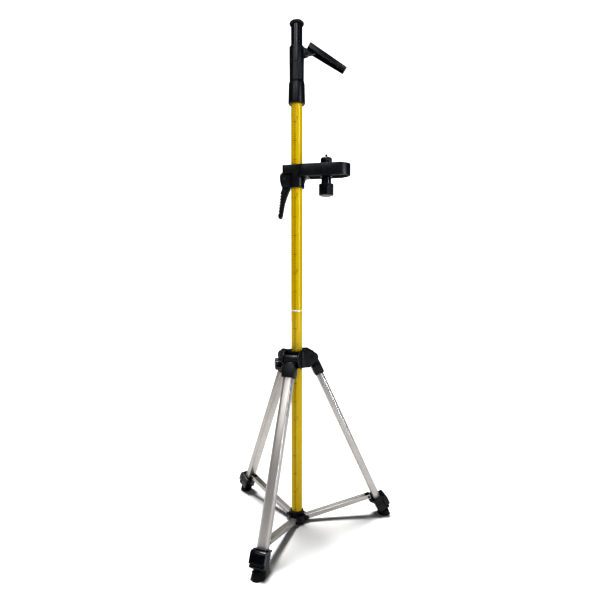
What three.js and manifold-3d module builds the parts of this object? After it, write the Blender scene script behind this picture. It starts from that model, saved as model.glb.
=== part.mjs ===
// A levelling pole on a folding tripod: a graduated tube on three braced legs, with a clamp
// bracket for an instrument and an extending, lever-locked head.
// Millimetres, +Z up, origin on the floor under the pole. Leg 1 stands out along +X.
import * as THREE from "three";
import { mergeVertices } from "three/addons/utils/BufferGeometryUtils.js";
import Module from "manifold-3d";

const wasm = await Module();
wasm.setup();

const WELD = 1e-4; // distance within which vertices are one
const GAP = 0.3; // clearance between neighbouring pieces
const LEGS = 3;
const ROUND = 24; // facets of a large round piece
const SMALL_ROUND = 12; // facets of a pin or a hole

// Pole
const POLE_R = 15;
const POLE_BORE_R = 13.5;
const POLE_FOOT_Z = 11;
const POLE_JOINT_Z = 587;
const POLE_TOP_Z = 1166;
const JOINT_RING_H = 4;
const JOINT_RING_R = 15.2;
const JOINT_SPIGOT = 28; // how far the joint ring reaches into each tube
const POLE_SEAT_R = 15.3; // bore of every fixed part that grips the pole

// Base hub and the arms that spread the legs
const HUB_BOTTOM_Z = 3;
const HUB_TOP_Z = 35;
const HUB_R = 17.6;
const HUB_RIM_R = 18.4;
const HUB_BODY_R = 24.5;
const HUB_BODY_TOP_Z = 24;
const HUB_PIVOT_R = 26;
const HUB_PIVOT_Z = 13;
const HUB_EAR_R = 6.5;
const HUB_EAR_T = 3.4;
const ARM_W = 17;
const ARM_UP = 6.5; // the channel's top above its pivots
const ARM_DOWN = 5.5;
const ARM_WALL = 1.5;
const ARM_TAIL = 4.2;
const ARM_FORK = 9; // length at the outer end where only the side walls are left
const ARM_PLAY = 0.4; // between an arm and the ears either side of it
const ARM_RIB_Y = 4;
const ARM_RIB_W = 1.2;
const ARM_RIB_H = 0.5;
const PIN_R = 2;
const PIN_HOLE_R = 2.3;
const PIN_HEAD_R = 3.6;
const PIN_HEAD_T = 1.2;

// Legs. A leg's own frame has its origin at the top pivot, -Z down the leg and +X outward.
const LEG_TILT = THREE.MathUtils.degToRad(24.9);
const LEG_PIVOT_R = 40.6;
const LEG_PIVOT_Z = 463;
const TUBE_DEPTH = 20; // along the leg's X
const TUBE_WIDTH = 28;
const TUBE_WALL = 1.4;
const TUBE_OUTER_R = 9; // corner radius on the outward face
const TUBE_INNER_R = 3;
const TUBE_START = 22; // distances down the leg from the top pivot
const TUBE_END = 470;
const INNER_START = 130;
const INNER_END = 501.5;
const INNER_WALL = 1.2;
const KNUCKLE_BARREL_R = 11.5;
const KNUCKLE_HALF_W = 19;
const SOCKET_HALF_W = 17.5;
const SOCKET_HALF_D = 13.3;
const SOCKET_TOP = 11;
const SOCKET_END = 51;
const NECK_HALF_D = 9;
const NECK_HALF_W = 15;
const NECK_END = 24; // the neck reaches this far down the socket
const KNUCKLE_PIN_R = 2.5;
const BRACE_AT = 440.1; // the brace pivot, down the leg
const BRACE_IN = 20.8; // and inward of the tube's axis
const CLAMP_START = 452;
const CLAMP_FLANGE_T = 4.5;
const CLAMP_END = 491;
const CLAMP_HALF_W = 18.5;
const CLAMP_IN = 13.5;
const CLAMP_OUT = 10.6;
const TAB_HALF_W = 6.4;
const TAB_R = 7;
const TAB_NECK = 3.2; // inward of the brace pivot, so a folded arm clears it
const ARM_SLOT = 13.6; // depth left inward of the tube where a folded arm lies in the clamp
const LATCH_AT = 487.2;
const LATCH_OUT = 16.2;
const LATCH_CAM_R = 5.2;
const LATCH_HALF_W = 14;
const LATCH_PAD_HALF_W = 19;
const LATCH_PAD_TOP = 454;
const LATCH_PAD_OUT = 25.5;
const LUG_R = 4.5;
const FOOT_START = 494;
const FOOT_R = 16;
const CUT = 1; // how far a cutting solid runs past what it cuts

// Crown: the sliding spider that carries the legs
const CROWN_BORE_R = 15.7;
const CROWN_R = 32;
const CROWN_POCKET_R = 26.9; // each knuckle turns in a pocket this far from the axis
const CROWN_BOTTOM_Z = 436;
const CROWN_TOP_Z = 482;
const EAR_R = 15;
const EAR_T = 4.5;
const EAR_TOP_Z = 484;
const EAR_SCREW_R = 6;
const EAR_INNER_Y = KNUCKLE_HALF_W + 0.4;
const CROWN_KNOB_Z = 444.6;
const CROWN_BOSS_R = 8.5;
const CROWN_BOSS_END = 40;
const CROWN_GRIP_START = 44;
const CROWN_GRIP_END = 60;
const CROWN_GRIP_R = 16.3;
const CROWN_SCREW_R = 3;

// Head
const COLLAR_BOTTOM_Z = 1139.5;
const COLLAR_TOP_Z = 1199;
const COLLAR_R = 22.3;
const SLEEVE_TOP_Z = 1288.7;
const SLEEVE_R = 19.4;
const SLEEVE_FLAT_TOP_Z = 1250;
const SLEEVE_FLAT_DEPTH = 1.1;
const SLEEVE_FLAT_HALF_W = 6;
const SLEEVE_FLATS = 8;
const PLUNGER_BOTTOM_Z = 1212;
const PLUNGER_TOP_Z = 1344.4;
const PLUNGER_BORE_R = 13;
const CAP_R = 19.2;
const CAP_TOP_Z = 1357.6;
const LEVER_PIVOT_X = 27;
const LEVER_PIVOT_Z = 1275;
const LEVER_LENGTH = 115;
const LEVER_START = [34.4, 1298.7]; // x and z of the lever's upper corner beside the sleeve
const LEVER_SLOPE = THREE.MathUtils.degToRad(-29.8);
const LEVER_HALF_W = 15;
const LEVER_WALL = 2.4;
const LEVER_NECK_HALF_W = 5.6;
const LEVER_EAR_R = 7.5;

// Instrument bracket, in its own frame: +X along the slab, origin on the pole's axis
const BRACKET_AZIMUTH = THREE.MathUtils.degToRad(-21.9);
const BUSH_R = 17;
const BRACKET_BORE_R = 17.3;
const BRACKET_COLLAR_R = 20.6;
const BRACKET_BOTTOM_Z = 918;
const BLOCK_BOTTOM_Z = 957;
const SLAB_BOTTOM_Z = 946;
const SLAB_TOP_Z = 978;
const SLAB_LIP = 2.5; // rim left round the recess under the slab
const SLAB_RECESS = 4;
const SLAB_END = 144;
const SLAB_HALF_W = 25;
const BLOCK_HALF_W = 21;
const BLOCK_END = -35.5;
const BOSS_R = 16;
const CHEEK_INNER_Y = 8.4;
const CHEEK_T = 4;
const CAM_X = -33;
const CAM_Z = 943;
const CAM_R = 5.7;
const CAM_ECCENTRIC = 0.8;
const CAM_HEAD_R = 11.2;
const CAM_PIN_R = 2.5;
const CAM_HALF_W = 8;
const JAW_BOTTOM_Z = 932;
const JAW_TOP_Z = 954;
const SCREW_X = 80;
const SCREW_R = 3.175; // quarter-inch instrument thread
const SCREW_TOP_Z = 1004;
const RING_R = 15;
const RING_TOP_Z = 995;
const KNOB_NECK_R = 12.8;
const KNOB_GRIP_R = 19.2;
const KNOB_GRIP_TOP_Z = 926;
const KNOB_BOTTOM_Z = 896;

const plastic = (name, color) =>
  new THREE.MeshStandardMaterial({ name, color, roughness: 0.5, metalness: 0 });
const metal = (name, color, roughness) =>
  new THREE.MeshStandardMaterial({ name, color, roughness, metalness: 1 });
const YELLOW = new THREE.MeshStandardMaterial({
  name: "yellow_paint",
  color: 0xd2ae12,
  roughness: 0.35,
  metalness: 0.2,
});
const BLACK = plastic("black_plastic", 0x17181b);
const RUBBER = new THREE.MeshStandardMaterial({ name: "rubber", color: 0x1a1a1b, roughness: 0.85 });
const SATIN = metal("satin_aluminium", 0xc9c4be, 0.4);
const STEEL = metal("dark_steel", 0x3a3b3d, 0.4);

// ---- geometry helpers -------------------------------------------------------------------

// A closed three.js geometry as a solid that can be joined and cut.
function solid(geometry) {
  const bare = geometry.index ? geometry.toNonIndexed() : geometry.clone();
  bare.deleteAttribute("normal");
  bare.deleteAttribute("uv");
  const merged = mergeVertices(bare, WELD);
  const index = merged.index.array;
  const triangles = [];
  for (let i = 0; i < index.length; i += 3) {
    const [a, b, c] = [index[i], index[i + 1], index[i + 2]];
    if (a !== b && b !== c && c !== a) triangles.push(a, b, c);
  }
  return new wasm.Manifold(
    new wasm.Mesh({
      numProp: 3,
      vertProperties: merged.attributes.position.array,
      triVerts: new Uint32Array(triangles),
    }),
  );
}

// A solid as a three.js geometry.
function geometryOf(body) {
  const data = body.getMesh();
  const geometry = new THREE.BufferGeometry();
  geometry.setAttribute("position", new THREE.BufferAttribute(new Float32Array(data.vertProperties), 3));
  geometry.setIndex(new THREE.BufferAttribute(new Uint32Array(data.triVerts), 1));
  return geometry;
}

// A solid turned about Z.
function turnedSolid(body, angle) {
  return solid(geometryOf(body).rotateZ(angle));
}

function named(name, body, material) {
  const geometry = geometryOf(body);
  geometry.computeVertexNormals();
  const mesh = new THREE.Mesh(geometry, material);
  mesh.name = name;
  return mesh;
}

function joined(bodies) {
  return bodies.reduce((sum, body) => sum.add(body));
}

// Box between two corners.
function block([x0, y0, z0], [x1, y1, z1]) {
  const box = new THREE.BoxGeometry(x1 - x0, y1 - y0, z1 - z0);
  box.translate((x0 + x1) / 2, (y0 + y1) / 2, (z0 + z1) / 2);
  return solid(box);
}

// Lathe-turned solid about Z from [radius, z] pairs that run outward at the bottom and up.
function turnedGeometry(profile, segments = ROUND) {
  const points = profile.map(([r, z]) => new THREE.Vector2(r, z));
  return new THREE.LatheGeometry(points, segments).rotateX(Math.PI / 2);
}

function turned(profile, segments) {
  return solid(turnedGeometry(profile, segments));
}

function tube(inner, outer, bottom, top, segments) {
  const profile = [
    [inner, bottom],
    [outer, bottom],
    [outer, top],
    [inner, top],
    [inner, bottom],
  ];
  return turned(profile, segments);
}

function rod(radius, bottom, top, segments = ROUND) {
  const profile = [
    [0, bottom],
    [radius, bottom],
    [radius, top],
    [0, top],
  ];
  return turned(profile, segments);
}

// Round bar along Y at [x, z], from y = -half to y = half.
function crossRod(radius, half, x, z, segments = SMALL_ROUND) {
  const bar = new THREE.CylinderGeometry(radius, radius, 2 * half, segments);
  bar.translate(x, 0, z);
  return solid(bar);
}

// Pin along Y with a head on each end.
function headedPin(radius, half, headRadius, x, z) {
  const heads = [-1, 1].map((side) => {
    const head = new THREE.CylinderGeometry(headRadius, headRadius, PIN_HEAD_T, SMALL_ROUND);
    head.translate(x, side * (half - PIN_HEAD_T / 2), z);
    return solid(head);
  });
  return joined([crossRod(radius, half - PIN_HEAD_T / 2, x, z), ...heads]);
}

// Plate whose outline lies in the XZ plane, between two values of Y.
function plate(outline, y0, y1) {
  const shape = new THREE.Shape(outline.map(([x, z]) => new THREE.Vector2(x, z)));
  const slab = new THREE.ExtrudeGeometry(shape, { depth: y1 - y0, bevelEnabled: false });
  slab.rotateX(Math.PI / 2);
  slab.translate(0, y1, 0);
  return solid(slab);
}

// Prism whose outline lies in the XY plane, between two heights.
function prism(outline, z0, z1) {
  const shape = new THREE.Shape(outline.map(([x, y]) => new THREE.Vector2(x, y)));
  const slab = new THREE.ExtrudeGeometry(shape, { depth: z1 - z0, bevelEnabled: false });
  slab.translate(0, 0, z0);
  return solid(slab);
}

function arc(cx, cy, radius, from, to, steps) {
  return Array.from({ length: steps + 1 }, (_, i) => {
    const angle = THREE.MathUtils.degToRad(from + ((to - from) * i) / steps);
    return [cx + radius * Math.cos(angle), cy + radius * Math.sin(angle)];
  });
}

// Rectangle with its own corner radius on the +X side and on the -X side.
function roundedBox(x0, x1, halfWidth, outerRadius, innerRadius, steps = 3) {
  const outer = x1 - outerRadius;
  const inner = x0 + innerRadius;
  return [
    ...arc(outer, -halfWidth + outerRadius, outerRadius, -90, 0, steps),
    ...arc(outer, halfWidth - outerRadius, outerRadius, 0, 90, steps),
    ...arc(inner, halfWidth - innerRadius, innerRadius, 90, 180, steps),
    ...arc(inner, -halfWidth + innerRadius, innerRadius, 180, 270, steps),
  ];
}

// The leg profile, grown (or shrunk, when negative) all round.
function legProfile(grow) {
  const half = TUBE_DEPTH / 2 + grow;
  const innerRadius = Math.max(1, TUBE_INNER_R + grow);
  return roundedBox(-half, half, TUBE_WIDTH / 2 + grow, TUBE_OUTER_R + grow, innerRadius);
}

// Knob about Z: a grip with flutes all round.
function fluted(profile, radius, flutes, depth, bottom, top) {
  let body = turned(profile);
  for (let i = 0; i < flutes; i++) {
    const angle = (2 * Math.PI * i) / flutes;
    const groove = new THREE.CylinderGeometry(depth * 2, depth * 2, top - bottom, 6);
    groove.rotateX(Math.PI / 2);
    const reach = radius + depth;
    groove.translate(reach * Math.cos(angle), reach * Math.sin(angle), (top + bottom) / 2);
    body = body.subtract(solid(groove));
  }
  return body;
}

// ---- pole -------------------------------------------------------------------------------

function poleJoint() {
  const bottom = POLE_JOINT_Z + GAP;
  const top = bottom + JOINT_RING_H;
  const spigot = POLE_BORE_R - GAP;
  const profile = [
    [spigot - 2, bottom - JOINT_SPIGOT],
    [spigot, bottom - JOINT_SPIGOT],
    [spigot, bottom],
    [JOINT_RING_R, bottom],
    [JOINT_RING_R, top],
    [spigot, top],
    [spigot, top + JOINT_SPIGOT],
    [spigot - 2, top + JOINT_SPIGOT],
    [spigot - 2, bottom - JOINT_SPIGOT],
  ];
  return turned(profile);
}

// ---- base hub ---------------------------------------------------------------------------

// Two ears either side of an arm, turned to the arm's azimuth.
function hubEars(azimuth) {
  const inner = ARM_W / 2 + ARM_PLAY;
  const outline = [
    [HUB_R - 3, HUB_BOTTOM_Z],
    [HUB_PIVOT_R, HUB_PIVOT_Z - HUB_EAR_R],
    ...arc(HUB_PIVOT_R, HUB_PIVOT_Z, HUB_EAR_R, -80, 80, 5),
    [HUB_PIVOT_R, HUB_PIVOT_Z + HUB_EAR_R],
    [HUB_R - 3, HUB_BODY_TOP_Z],
  ];
  return [-1, 1].map((side) => {
    const y0 = side > 0 ? inner : -inner - HUB_EAR_T;
    return turnedSolid(plate(outline, y0, y0 + HUB_EAR_T), azimuth);
  });
}

function legAzimuth(i) {
  return (2 * Math.PI * i) / LEGS;
}

function baseHub() {
  const profile = [
    [0, HUB_BOTTOM_Z],
    [HUB_BODY_R - 1.5, HUB_BOTTOM_Z],
    [HUB_BODY_R, HUB_BOTTOM_Z + 2],
    [HUB_BODY_R, HUB_BODY_TOP_Z - 2],
    [HUB_BODY_R - 2, HUB_BODY_TOP_Z],
    [HUB_R, HUB_BODY_TOP_Z + 1.5],
    [HUB_R, HUB_TOP_Z - 5],
    [HUB_RIM_R, HUB_TOP_Z - 4],
    [HUB_RIM_R, HUB_TOP_Z - 1],
    [HUB_RIM_R - 1, HUB_TOP_Z],
    [0, HUB_TOP_Z],
  ];
  let body = turned(profile);
  const pocketHalf = ARM_W / 2 + ARM_PLAY;
  for (let i = 0; i < LEGS; i++) {
    const pocket = block([HUB_R, -pocketHalf, HUB_BOTTOM_Z - CUT], [40, pocketHalf, HUB_BODY_TOP_Z + CUT]);
    body = body.subtract(turnedSolid(pocket, legAzimuth(i)));
  }
  for (let i = 0; i < LEGS; i++) body = joined([body, ...hubEars(legAzimuth(i))]);
  for (let i = 0; i < LEGS; i++) {
    const hole = crossRod(PIN_HOLE_R, 30, HUB_PIVOT_R, HUB_PIVOT_Z);
    body = body.subtract(turnedSolid(hole, legAzimuth(i)));
  }
  return body.subtract(rod(POLE_SEAT_R, POLE_FOOT_Z - GAP, HUB_TOP_Z + 1));
}

// ---- arms -------------------------------------------------------------------------------

const braceR = LEG_PIVOT_R + BRACE_AT * Math.sin(LEG_TILT) - BRACE_IN * Math.cos(LEG_TILT);
const braceZ = LEG_PIVOT_Z - BRACE_AT * Math.cos(LEG_TILT) - BRACE_IN * Math.sin(LEG_TILT);
const ARM_LENGTH = Math.hypot(braceR - HUB_PIVOT_R, braceZ - HUB_PIVOT_Z);
const ARM_SLOPE = Math.atan2(braceZ - HUB_PIVOT_Z, braceR - HUB_PIVOT_R);

// Channel along +X from its hub pivot at the origin, open underneath, ribbed on top.
function spreaderArm() {
  const half = ARM_W / 2;
  const rib = (y) => [
    [y + ARM_RIB_W / 2, ARM_UP],
    [y + ARM_RIB_W / 2, ARM_UP + ARM_RIB_H],
    [y - ARM_RIB_W / 2, ARM_UP + ARM_RIB_H],
    [y - ARM_RIB_W / 2, ARM_UP],
  ];
  const section = [
    [-half, -ARM_DOWN],
    [-half + ARM_WALL, -ARM_DOWN],
    [-half + ARM_WALL, ARM_UP - ARM_WALL],
    [half - ARM_WALL, ARM_UP - ARM_WALL],
    [half - ARM_WALL, -ARM_DOWN],
    [half, -ARM_DOWN],
    [half, ARM_UP - 1],
    [half - 1, ARM_UP],
    ...rib(ARM_RIB_Y),
    ...rib(-ARM_RIB_Y),
    [-half + 1, ARM_UP],
    [-half, ARM_UP - 1],
  ];
  const shape = new THREE.Shape(section.map(([y, z]) => new THREE.Vector2(y, z)));
  const length = ARM_LENGTH + 2 * ARM_TAIL;
  const channel = new THREE.ExtrudeGeometry(shape, { depth: length, bevelEnabled: false });
  channel.rotateX(Math.PI / 2);
  channel.rotateZ(Math.PI / 2);
  channel.translate(-ARM_TAIL, 0, 0);
  const inside = half - ARM_WALL;
  const fork = block([ARM_LENGTH - ARM_FORK, -inside, -ARM_DOWN - CUT], [length, inside, ARM_UP + CUT]);
  let body = solid(channel).subtract(fork);
  for (const x of [0, ARM_LENGTH]) body = body.subtract(crossRod(PIN_HOLE_R, half + 1, x, 0));
  return body;
}

// ---- legs -------------------------------------------------------------------------------

function legTube() {
  const outside = prism(legProfile(0), -TUBE_END, -TUBE_START);
  return outside.subtract(prism(legProfile(-TUBE_WALL), -TUBE_END - 1, -TUBE_START + 1));
}

function innerLeg() {
  const outer = -TUBE_WALL - 0.4;
  const outside = prism(legProfile(outer), -INNER_END, -INNER_START);
  return outside.subtract(prism(legProfile(outer - INNER_WALL), -INNER_END - 1, -INNER_START + 1));
}

function legKnuckle() {
  const barrel = crossRod(KNUCKLE_BARREL_R, KNUCKLE_HALF_W, 0, 0, 20);
  // The socket is arched where it grows out of the barrel.
  const arch = arc(0, -SOCKET_TOP - SOCKET_HALF_W, SOCKET_HALF_W, 0, 180, 9);
  const outline = [[-SOCKET_HALF_W, -SOCKET_END], [SOCKET_HALF_W, -SOCKET_END], ...arch];
  const shape = new THREE.Shape(outline.map(([y, z]) => new THREE.Vector2(y, z)));
  const slab = new THREE.ExtrudeGeometry(shape, { depth: 2 * SOCKET_HALF_D, bevelEnabled: false });
  slab.rotateX(Math.PI / 2);
  slab.rotateZ(Math.PI / 2);
  slab.translate(-SOCKET_HALF_D, 0, 0);
  const rounded = prism(roundedBox(-SOCKET_HALF_D, SOCKET_HALF_D, SOCKET_HALF_W, 6, 3), -SOCKET_END, 0);
  const socket = solid(slab).intersect(rounded);
  const cavity = prism(legProfile(GAP), -SOCKET_END - 1, -TUBE_START + GAP);
  const neck = block([-NECK_HALF_D, -NECK_HALF_W, -NECK_END], [NECK_HALF_D, NECK_HALF_W, 0]);
  return barrel
    .add(neck)
    .add(socket)
    .subtract(cavity)
    .subtract(crossRod(KNUCKLE_PIN_R + GAP, KNUCKLE_HALF_W + 1, 0, 0));
}

function knucklePin() {
  return crossRod(KNUCKLE_PIN_R, KNUCKLE_HALF_W - GAP, 0, 0);
}

function legClamp() {
  const flangeEnd = CLAMP_START + CLAMP_FLANGE_T;
  const flange = prism(
    roundedBox(-CLAMP_IN - 3, CLAMP_OUT + 3.5, CLAMP_HALF_W + 1, 5, 4),
    -flangeEnd,
    -CLAMP_START,
  ).subtract(
    block([CLAMP_OUT + 0.2, -LATCH_PAD_HALF_W - CUT, -flangeEnd - CUT], [30, LATCH_PAD_HALF_W + CUT, -400]),
  );
  const body = prism(roundedBox(-CLAMP_IN, CLAMP_OUT, CLAMP_HALF_W, 2, 4), -CLAMP_END, -flangeEnd + 1);
  const tab = plate(
    [
      [-TUBE_DEPTH / 2 - GAP, -flangeEnd - 14],
      [-TUBE_DEPTH / 2 - GAP, -BRACE_AT + 2],
      ...arc(-BRACE_IN, -BRACE_AT, TAB_R, 60, 190, 6),
      [-BRACE_IN - TAB_NECK, -BRACE_AT - 8],
      [-BRACE_IN - TAB_NECK, -flangeEnd],
      [-CLAMP_IN + 1, -flangeEnd - 14],
    ],
    -TAB_HALF_W,
    TAB_HALF_W,
  );
  const lugs = [-1, 1].map((side) => {
    const outline = [
      [CLAMP_OUT - 1, -LATCH_AT + LUG_R],
      [LATCH_OUT, -LATCH_AT + LUG_R],
      ...arc(LATCH_OUT, -LATCH_AT, LUG_R, 80, -60, 8),
      [CLAMP_OUT - 1, -CLAMP_END],
    ];
    const y0 = side > 0 ? LATCH_HALF_W + 0.4 : -CLAMP_HALF_W;
    return plate(outline, y0, y0 + CLAMP_HALF_W - LATCH_HALF_W - 0.4);
  });
  const slotHalf = ARM_W / 2 + 0.7;
  const armSlot = block([-40, -slotHalf, -CLAMP_END - 1], [-ARM_SLOT, slotHalf, -CLAMP_START + 1]);
  return joined([flange.add(body).subtract(armSlot), tab, ...lugs])
    .subtract(prism(legProfile(GAP), -TUBE_END - GAP, -CLAMP_START + 30))
    .subtract(prism(legProfile(-TUBE_WALL - 0.1), -CLAMP_END - 1, -TUBE_END + 1))
    .subtract(crossRod(PIN_HOLE_R, 30, -BRACE_IN, -BRACE_AT))
    .subtract(crossRod(PIN_HOLE_R, 30, LATCH_OUT, -LATCH_AT));
}

// Flip lever on the outward face; its free tip points up the leg.
function latchLever() {
  const back = CLAMP_OUT + 0.5;
  const top = -LATCH_PAD_TOP;
  const bottom = -LATCH_AT + LUG_R + 0.7;
  const padOutline = [
    [back, bottom],
    [LATCH_PAD_OUT, bottom],
    [LATCH_PAD_OUT, top - 7],
    [LATCH_PAD_OUT - 2, top - 1],
    [LATCH_PAD_OUT - 4, top],
    [back, top],
  ];
  const neckOutline = [
    [back + 0.6, bottom + 1],
    [back + 0.6, -LATCH_AT + 1],
    [LATCH_PAD_OUT - 1.5, -LATCH_AT + 2],
    [LATCH_PAD_OUT - 1.5, bottom + 1],
  ];
  const groove = block([LATCH_PAD_OUT - 0.8, -9, top - 18], [LATCH_PAD_OUT + CUT, 9, top - 10]);
  return plate(padOutline, -LATCH_PAD_HALF_W, LATCH_PAD_HALF_W)
    .subtract(groove)
    .add(plate(neckOutline, -LATCH_HALF_W, LATCH_HALF_W))
    .add(crossRod(LATCH_CAM_R, LATCH_HALF_W, LATCH_OUT, -LATCH_AT, 16))
    .subtract(crossRod(PIN_HOLE_R, 30, LATCH_OUT, -LATCH_AT));
}

// Rubber foot with a flat sole on the floor, in the frame of the leg's azimuth.
function foot() {
  const profile = [
    [0, -540],
    [FOOT_R, -540],
    [FOOT_R, -FOOT_START - 7],
    [FOOT_R - 1, -FOOT_START - 4.5],
    [FOOT_R - 3, -FOOT_START - 3.5],
    [FOOT_R - 3, -FOOT_START],
    [0, -FOOT_START],
  ];
  const boot = turnedGeometry(profile, 20);
  const neck = new THREE.ExtrudeGeometry(
    new THREE.Shape(legProfile(-0.4).map(([x, y]) => new THREE.Vector2(x, y))),
    { depth: 12, bevelEnabled: false },
  ).translate(0, 0, -FOOT_START - 10);
  const hollow = new THREE.ExtrudeGeometry(
    new THREE.Shape(legProfile(-TUBE_WALL - 0.1).map(([x, y]) => new THREE.Vector2(x, y))),
    { depth: 20, bevelEnabled: false },
  ).translate(0, 0, -INNER_END - GAP);
  for (const piece of [boot, neck, hollow]) {
    piece.rotateY(-LEG_TILT);
    piece.translate(LEG_PIVOT_R, 0, LEG_PIVOT_Z);
  }
  const floor = block([100, -60, -60], [400, 60, 0]);
  return solid(boot).add(solid(neck)).subtract(floor).subtract(solid(hollow));
}

// ---- crown ------------------------------------------------------------------------------

function crownEar(side) {
  const y0 = side > 0 ? EAR_INNER_Y : -EAR_INNER_Y - EAR_T;
  const outline = [
    [14, CROWN_BOTTOM_Z],
    [32, CROWN_BOTTOM_Z],
    ...arc(LEG_PIVOT_R, LEG_PIVOT_Z, EAR_R, -62, 76, 9),
    [34, EAR_TOP_Z],
    [14, EAR_TOP_Z],
  ];
  const head = new THREE.CylinderGeometry(EAR_SCREW_R, EAR_SCREW_R, 2, SMALL_ROUND);
  head.translate(LEG_PIVOT_R, side * (EAR_INNER_Y + EAR_T + 0.8), LEG_PIVOT_Z);
  return plate(outline, y0, y0 + EAR_T).add(solid(head));
}

function crownBody() {
  const ring = [
    [0, CROWN_BOTTOM_Z],
    [CROWN_R - 2, CROWN_BOTTOM_Z],
    [CROWN_R, CROWN_BOTTOM_Z + 2],
    [CROWN_R, CROWN_TOP_Z - 1.5],
    [CROWN_R - 1.5, CROWN_TOP_Z],
    [CROWN_BORE_R + 3, CROWN_TOP_Z - 2.5],
    [CROWN_BORE_R + 1, CROWN_TOP_Z - 4],
    [0, CROWN_TOP_Z - 4],
  ];
  let body = turned(ring);
  const pocket = block(
    [CROWN_POCKET_R, -EAR_INNER_Y, CROWN_BOTTOM_Z - CUT],
    [CROWN_R + CUT, EAR_INNER_Y, EAR_TOP_Z + CUT],
  );
  for (let i = 0; i < LEGS; i++) body = body.subtract(turnedSolid(pocket, legAzimuth(i)));
  for (let i = 0; i < LEGS; i++) {
    for (const side of [-1, 1]) body = body.add(turnedSolid(crownEar(side), legAzimuth(i)));
  }
  const boss = new THREE.CylinderGeometry(CROWN_BOSS_R, CROWN_BOSS_R, CROWN_BOSS_END - 20, 16);
  boss.rotateZ(Math.PI / 2);
  boss.translate(-(CROWN_BOSS_END + 20) / 2, 0, CROWN_KNOB_Z);
  const screwHole = new THREE.CylinderGeometry(CROWN_SCREW_R + GAP, CROWN_SCREW_R + GAP, 40, SMALL_ROUND);
  screwHole.rotateZ(Math.PI / 2);
  screwHole.translate(-30, 0, CROWN_KNOB_Z);
  return body
    .add(solid(boss))
    .subtract(rod(CROWN_BORE_R, CROWN_BOTTOM_Z - CUT, EAR_TOP_Z + CUT))
    .subtract(solid(screwHole));
}

// The crown's clamp knob and screw are turned about Z here and laid along -X by addCrown.
function crownKnob() {
  const profile = [
    [0, CROWN_BOSS_END + 0.4],
    [6.5, CROWN_BOSS_END + 0.4],
    [6.5, CROWN_GRIP_START],
    [CROWN_GRIP_R - 1, CROWN_GRIP_START],
    [CROWN_GRIP_R, CROWN_GRIP_START + 1.5],
    [CROWN_GRIP_R, CROWN_GRIP_END - 3],
    [CROWN_GRIP_R - 3, CROWN_GRIP_END],
    [0, CROWN_GRIP_END],
  ];
  return fluted(profile, CROWN_GRIP_R, 8, 1.4, CROWN_GRIP_START - 1, CROWN_GRIP_END + 1).subtract(
    rod(CROWN_SCREW_R + GAP, CROWN_BOSS_END, CROWN_GRIP_END - 6, SMALL_ROUND),
  );
}

function crownScrew() {
  return rod(CROWN_SCREW_R, POLE_R + 1.2, CROWN_GRIP_END - 6 - GAP, SMALL_ROUND);
}

// ---- head -------------------------------------------------------------------------------

function headCollar() {
  const profile = [
    [POLE_SEAT_R, COLLAR_BOTTOM_Z],
    [COLLAR_R - 2, COLLAR_BOTTOM_Z],
    [COLLAR_R, COLLAR_BOTTOM_Z + 4],
    [COLLAR_R - 1.3, COLLAR_TOP_Z - 6],
    [COLLAR_R - 3, COLLAR_TOP_Z],
    [POLE_SEAT_R, COLLAR_TOP_Z],
    [POLE_SEAT_R, COLLAR_BOTTOM_Z],
  ];
  return turned(profile);
}

function headSleeve() {
  const bottom = COLLAR_TOP_Z + GAP;
  const profile = [
    [POLE_SEAT_R, bottom],
    [SLEEVE_R - 0.4, bottom],
    [SLEEVE_R, SLEEVE_FLAT_TOP_Z],
    [SLEEVE_R, SLEEVE_TOP_Z - 2.5],
    [SLEEVE_R - 2, SLEEVE_TOP_Z],
    [POLE_SEAT_R, SLEEVE_TOP_Z],
    [POLE_SEAT_R, bottom],
  ];
  let body = turned(profile, 32);
  // Shallow flats all round the lower half.
  for (let i = 0; i < SLEEVE_FLATS; i++) {
    const cut = block(
      [SLEEVE_R - SLEEVE_FLAT_DEPTH, -SLEEVE_FLAT_HALF_W, bottom + 3],
      [SLEEVE_R + CUT, SLEEVE_FLAT_HALF_W, SLEEVE_FLAT_TOP_Z - 4],
    );
    body = body.subtract(turnedSolid(cut, (2 * Math.PI * (i + 0.5)) / SLEEVE_FLATS));
  }
  const ears = [-1, 1].map((side) => {
    const outline = [
      [SLEEVE_R - 3, LEVER_PIVOT_Z - 12],
      ...arc(LEVER_PIVOT_X, LEVER_PIVOT_Z, LEVER_EAR_R, -60, 80, 8),
      [SLEEVE_R - 3, LEVER_PIVOT_Z + 12],
    ];
    const y0 = side > 0 ? LEVER_NECK_HALF_W + 0.4 : -LEVER_NECK_HALF_W - 3.9;
    return plate(outline, y0, y0 + 3.5);
  });
  return joined([body, ...ears])
    .subtract(crossRod(PIN_HOLE_R, 30, LEVER_PIVOT_X, LEVER_PIVOT_Z))
    .subtract(rod(POLE_SEAT_R, bottom - 1, SLEEVE_TOP_Z + 1, 32));
}

function topCap() {
  const profile = [
    [0, PLUNGER_TOP_Z - 12],
    [PLUNGER_BORE_R - GAP, PLUNGER_TOP_Z - 12],
    [PLUNGER_BORE_R - GAP, PLUNGER_TOP_Z + GAP],
    [CAP_R - 2, PLUNGER_TOP_Z + GAP],
    [CAP_R - 0.4, PLUNGER_TOP_Z + 2],
    [CAP_R, PLUNGER_TOP_Z + 4.5],
    [CAP_R - 0.6, PLUNGER_TOP_Z + 6.5],
    [CAP_R - 3, CAP_TOP_Z - 4.4],
    [CAP_R - 8, CAP_TOP_Z - 1.6],
    [6, CAP_TOP_Z],
    [0, CAP_TOP_Z],
  ];
  return turned(profile);
}

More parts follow.
